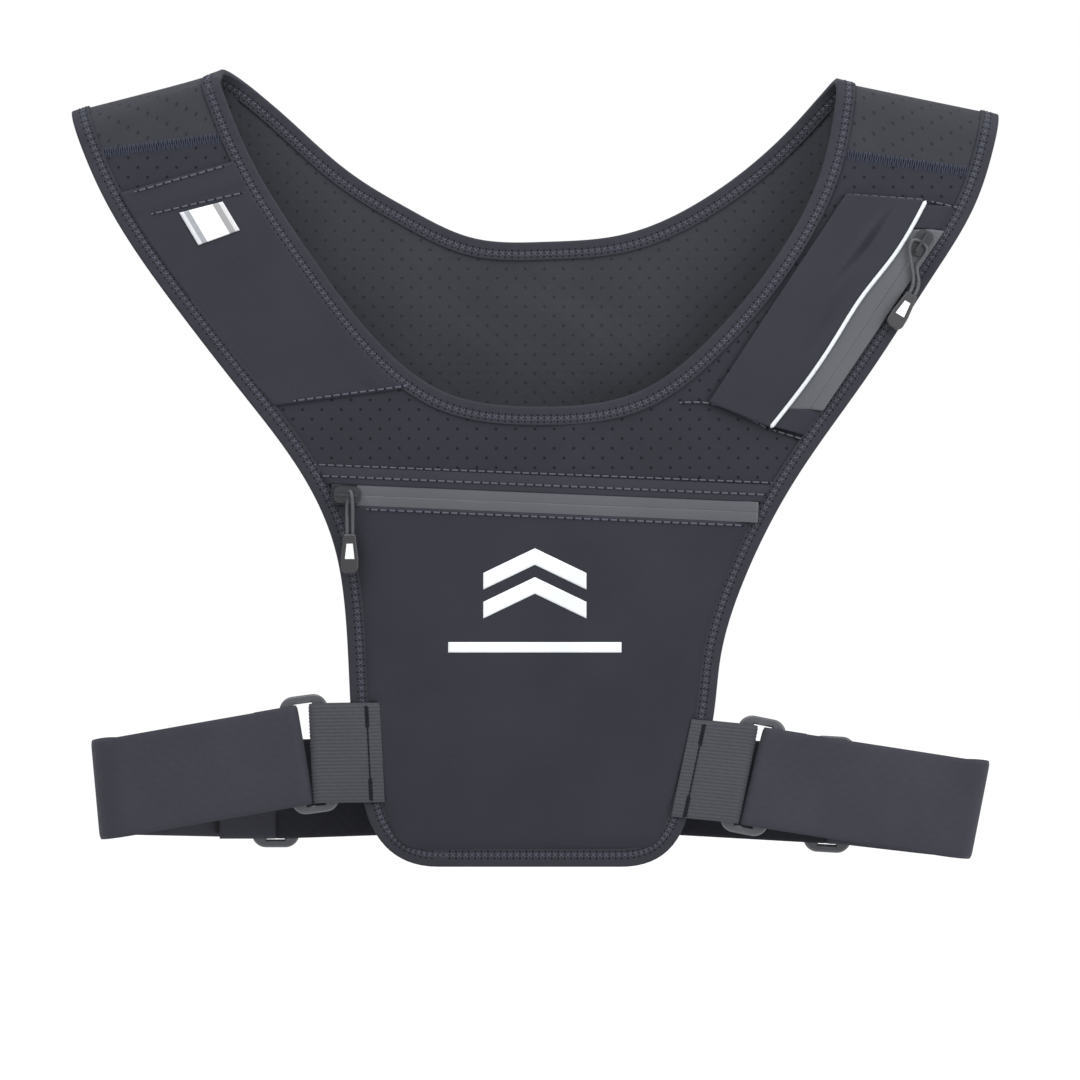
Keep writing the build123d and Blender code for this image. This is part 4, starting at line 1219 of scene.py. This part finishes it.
tabs = [
    tab("left_front_webbing", left_front, left_sewn, -1, ring_level, "left_front_tab", slack=(1.5, 5)),
    tab("right_front_webbing", right_front, right_sewn, 1, ring_level, "right_front_tab"),
    tab("left_rear_webbing", left_rear, left_rear_sewn, -1, -ring_level, "left_rear_tab", None, (2.3, 0)),
    tab("right_rear_webbing", right_rear, right_rear_sewn, 1, -ring_level, "right_rear_tab", None, (2.3, 0)),
]
for (piece, end, bar), body in zip(tabs[2:], ("left_strap", "right_strap")):
    side = np.sign(bar[0])
    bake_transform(piece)

# %% Tab stitches
tab_rows = []
for (sx, sz, lean), side, z_turn in (
    (left_sewn, -1, 0.0), (right_sewn, 1, 0.0), (left_rear_sewn, -1, math.pi), (right_rear_sewn, 1, math.pi)
):
    out, a = outward(lean, side), math.radians(lean)
    up = np.array([math.sin(a), math.cos(a)])
    base = np.array([sx, sz]) * mm + out * 6.5 * mm
    face = (ring_level + 3.5 * mm) * math.cos(z_turn)
    level_of = lambda x, z, face=face: np.full(np.shape(x), face)
    line = base + np.outer(np.linspace(-21, 21, 60) * mm, up)
    tab_rows.append(stitch_row(line, level_of, 3.2 * mm, 0.35 * mm, z_turn))
    for low in (-23, 12.5):
        v = np.linspace(low, low + 10.5, 150)
        swing = np.clip(1.5 * np.sin(2 * math.pi * v / 0.9), -1, 1) * 0.8
        tack = base + (np.outer(v, up) + np.outer(swing, out)) * mm
        path = stand(tack, face + 0.1 * mm * math.cos(z_turn))
        tab_rows.append(tube(path, np.broadcast_to([0.0, -math.cos(z_turn), 0.0], path.shape), 0.3 * mm, 5))
sewn("webbing_tab_stitches", tab_rows, dark_thread_and_hole_shade)

# %% Painted shade of the needle holes
sewn("painted_needle_hole_shade", needle_hole_shades, dark_thread_and_hole_shade)

# %% [markdown]
# ## Moulded and metal pieces
# Rings, tips, sliders, coils and stops are hard. Their solids already have the right
# shape, so each gets a finish in its own material slot.

# %% Hard pieces
finishes = (
    (ring_plastic, ("left_front_ring", "left_rear_ring", "right_front_ring", "right_rear_ring")),
    (tip_rubber, ("main_pull_tip", "shoulder_pull_tip")),
    (mark_white, ("main_pull_mark", "shoulder_pull_mark")),
    (enamel, ("main_slider", "shoulder_slider")),
    (coil_nylon, ("main_zip_coil", "main_zip_stops", "shoulder_zip_coil", "shoulder_zip_stops")),
    (hook_fabric, ("left_hook_patch", "right_hook_patch")),
)
for finish, names in finishes:
    for name in names:
        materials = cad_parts[name].data.materials
        materials.clear()
        materials.append(finish)
print("hard pieces", sum(len(names) for _, names in finishes))


# %% [markdown]
# ## Pull cords
# A pull is a short loop of round braided cord whose ends are moulded into the tip. Each
# is a smooth spline through the same points as its solid.

# %% Cords
cord_diameter = 1.8 * mm


def pull_cord(name, body, points, replaced):
    """Smooth spline of order 3 through control points, as round as the cord."""
    curve = bpy.data.curves.new(name, "CURVE")
    curve.dimensions = "3D"
    spline = curve.splines.new("NURBS")
    spline.points.add(len(points) - 1)
    for control, point in zip(spline.points, points):
        control.co = (*point, 1)
    spline.order_u = 3
    spline.use_endpoint_u = True
    spline.resolution_u = 12
    curve.bevel_depth = cord_diameter / 2
    curve.bevel_resolution = 3
    curve.use_fill_caps = True
    cord = bpy.data.objects.new(name, curve)
    bpy.context.scene.collection.objects.link(cord)
    curve.materials.append(cord_braid)
    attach(cord, body)
    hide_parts(replaced)
    return cord


cord_braid = moulded("round_braid", (0.032, 0.034, 0.040), 0.6, grain=0.6, scale=1500.0)
bar_level = pocket_skin + 4.3 * mm
slider_x, slider_z = -90.804 * mm, -194.178 * mm
strand, lift, round_bar = 1.3, 0.2, 1.8
loop = [
    (-strand, -19, lift), (-strand, -13.5, lift), (-1.5, -6.2, -1.3), (-0.9, round_bar, -round_bar),
    (0.9, round_bar, round_bar), (1.5, -6.2, 1.5), (strand, -13.5, lift), (strand, -19, lift),
]
main_route = [(slider_x + (1.4 + u) * mm, -bar_level - f * mm, slider_z + v * mm) for u, v, f in loop]
pull_cord(
    "main_pull_loop", "main_pull", main_route, "main_pull_cord"
)

loop_level = pocket_skin + 2.5 * mm
step_way = unit(shoulder_zip[1] - shoulder_zip[0])
slider_at = shoulder_zip[0] + step_way * 4.2 * mm
neck_way = np.array([step_way[1], -step_way[0]])
tip_lean = math.radians(31)
tip_way = np.array([-math.sin(tip_lean), -math.cos(tip_lean)])
tip_side = np.array([math.cos(tip_lean), -math.sin(tip_lean)])
tip_top = slider_at + np.array([-4.6, -25.0]) * mm


def by_tip(sideways, back):
    flat = tip_top + (sideways * tip_side - back * tip_way) * mm
    return (flat[0], -loop_level - 0.2 * mm, flat[1])


def on_loop(travel, across):
    flat = slider_at + (step_way * travel + neck_way * across) * mm
    return (flat[0], -loop_level, flat[1])


shoulder_route = [by_tip(-strand, 0), by_tip(-strand, 5), on_loop(9.5, 0.2), on_loop(4.5, 4.2)]
shoulder_route += [on_loop(0, 4.0), on_loop(0, -4.0), on_loop(4.8, -5.0), on_loop(11.5, -4.2)]
shoulder_route += [by_tip(strand, 5.5), by_tip(strand, 0)]
pull_cord(
    "shoulder_pull_loop", "shoulder_pull", shoulder_route, "shoulder_pull_cord",
)

# %% [markdown]
# ## Studio
# A white floor in a white room, soft lights above and to both sides, and a long lens
# straight in front keep the vest's outline true and its dark cloth readable.

# %% Floor, camera and lights
reach = np.linspace(-6, 6, 25)
floor_points = np.stack(np.broadcast_arrays(reach[None, :], reach[:, None], -0.62), axis=-1)
floor = make_piece("studio_floor", [(floor_points, floor_points[..., :2].copy())], facing=(0, 0, 1))
paper, _, glow = new_material("studio_paper", (0.93, 0.93, 0.93), 0.9)
glow.inputs["Emission Color"].default_value = (1, 1, 1, 1)
glow.inputs["Emission Strength"].default_value = 0.12
floor.data.materials.append(paper)

camera = bpy.data.objects.new("camera", bpy.data.cameras.new("camera"))
bpy.context.scene.collection.objects.link(camera)
camera.data.lens = 120
camera.location = (0.0025, -1.763, -0.216)
camera.rotation_euler = (math.pi / 2, 0, 0)
bpy.context.scene.camera = camera
lamps = (
    ("top_left_softbox", (-0.5, -0.5, 0.38), 0.45, 3.2), ("right_softbox", (0.6, -0.5, 0.05), 0.45, 4.2),
    ("top_strip", (0.0, -0.3, 0.6), 0.5, 6.5),
)
for name, where, size, power in lamps:
    lamp = bpy.data.objects.new(name, bpy.data.lights.new(name, "AREA"))
    lamp.data.size, lamp.data.energy = size, power
    lamp.location = where
    lamp.rotation_euler = (Vector((0, 0, -0.2)) - lamp.location).to_track_quat("-Z", "Y").to_euler()
    bpy.context.scene.collection.objects.link(lamp)
world = bpy.data.worlds.new("studio")
world.use_nodes = True
world.node_tree.nodes["Background"].inputs[0].default_value = (1, 1, 1, 1)
world.node_tree.nodes["Background"].inputs[1].default_value = 1.0
bpy.context.scene.world = world
bpy.context.scene.view_settings.view_transform = "Standard"
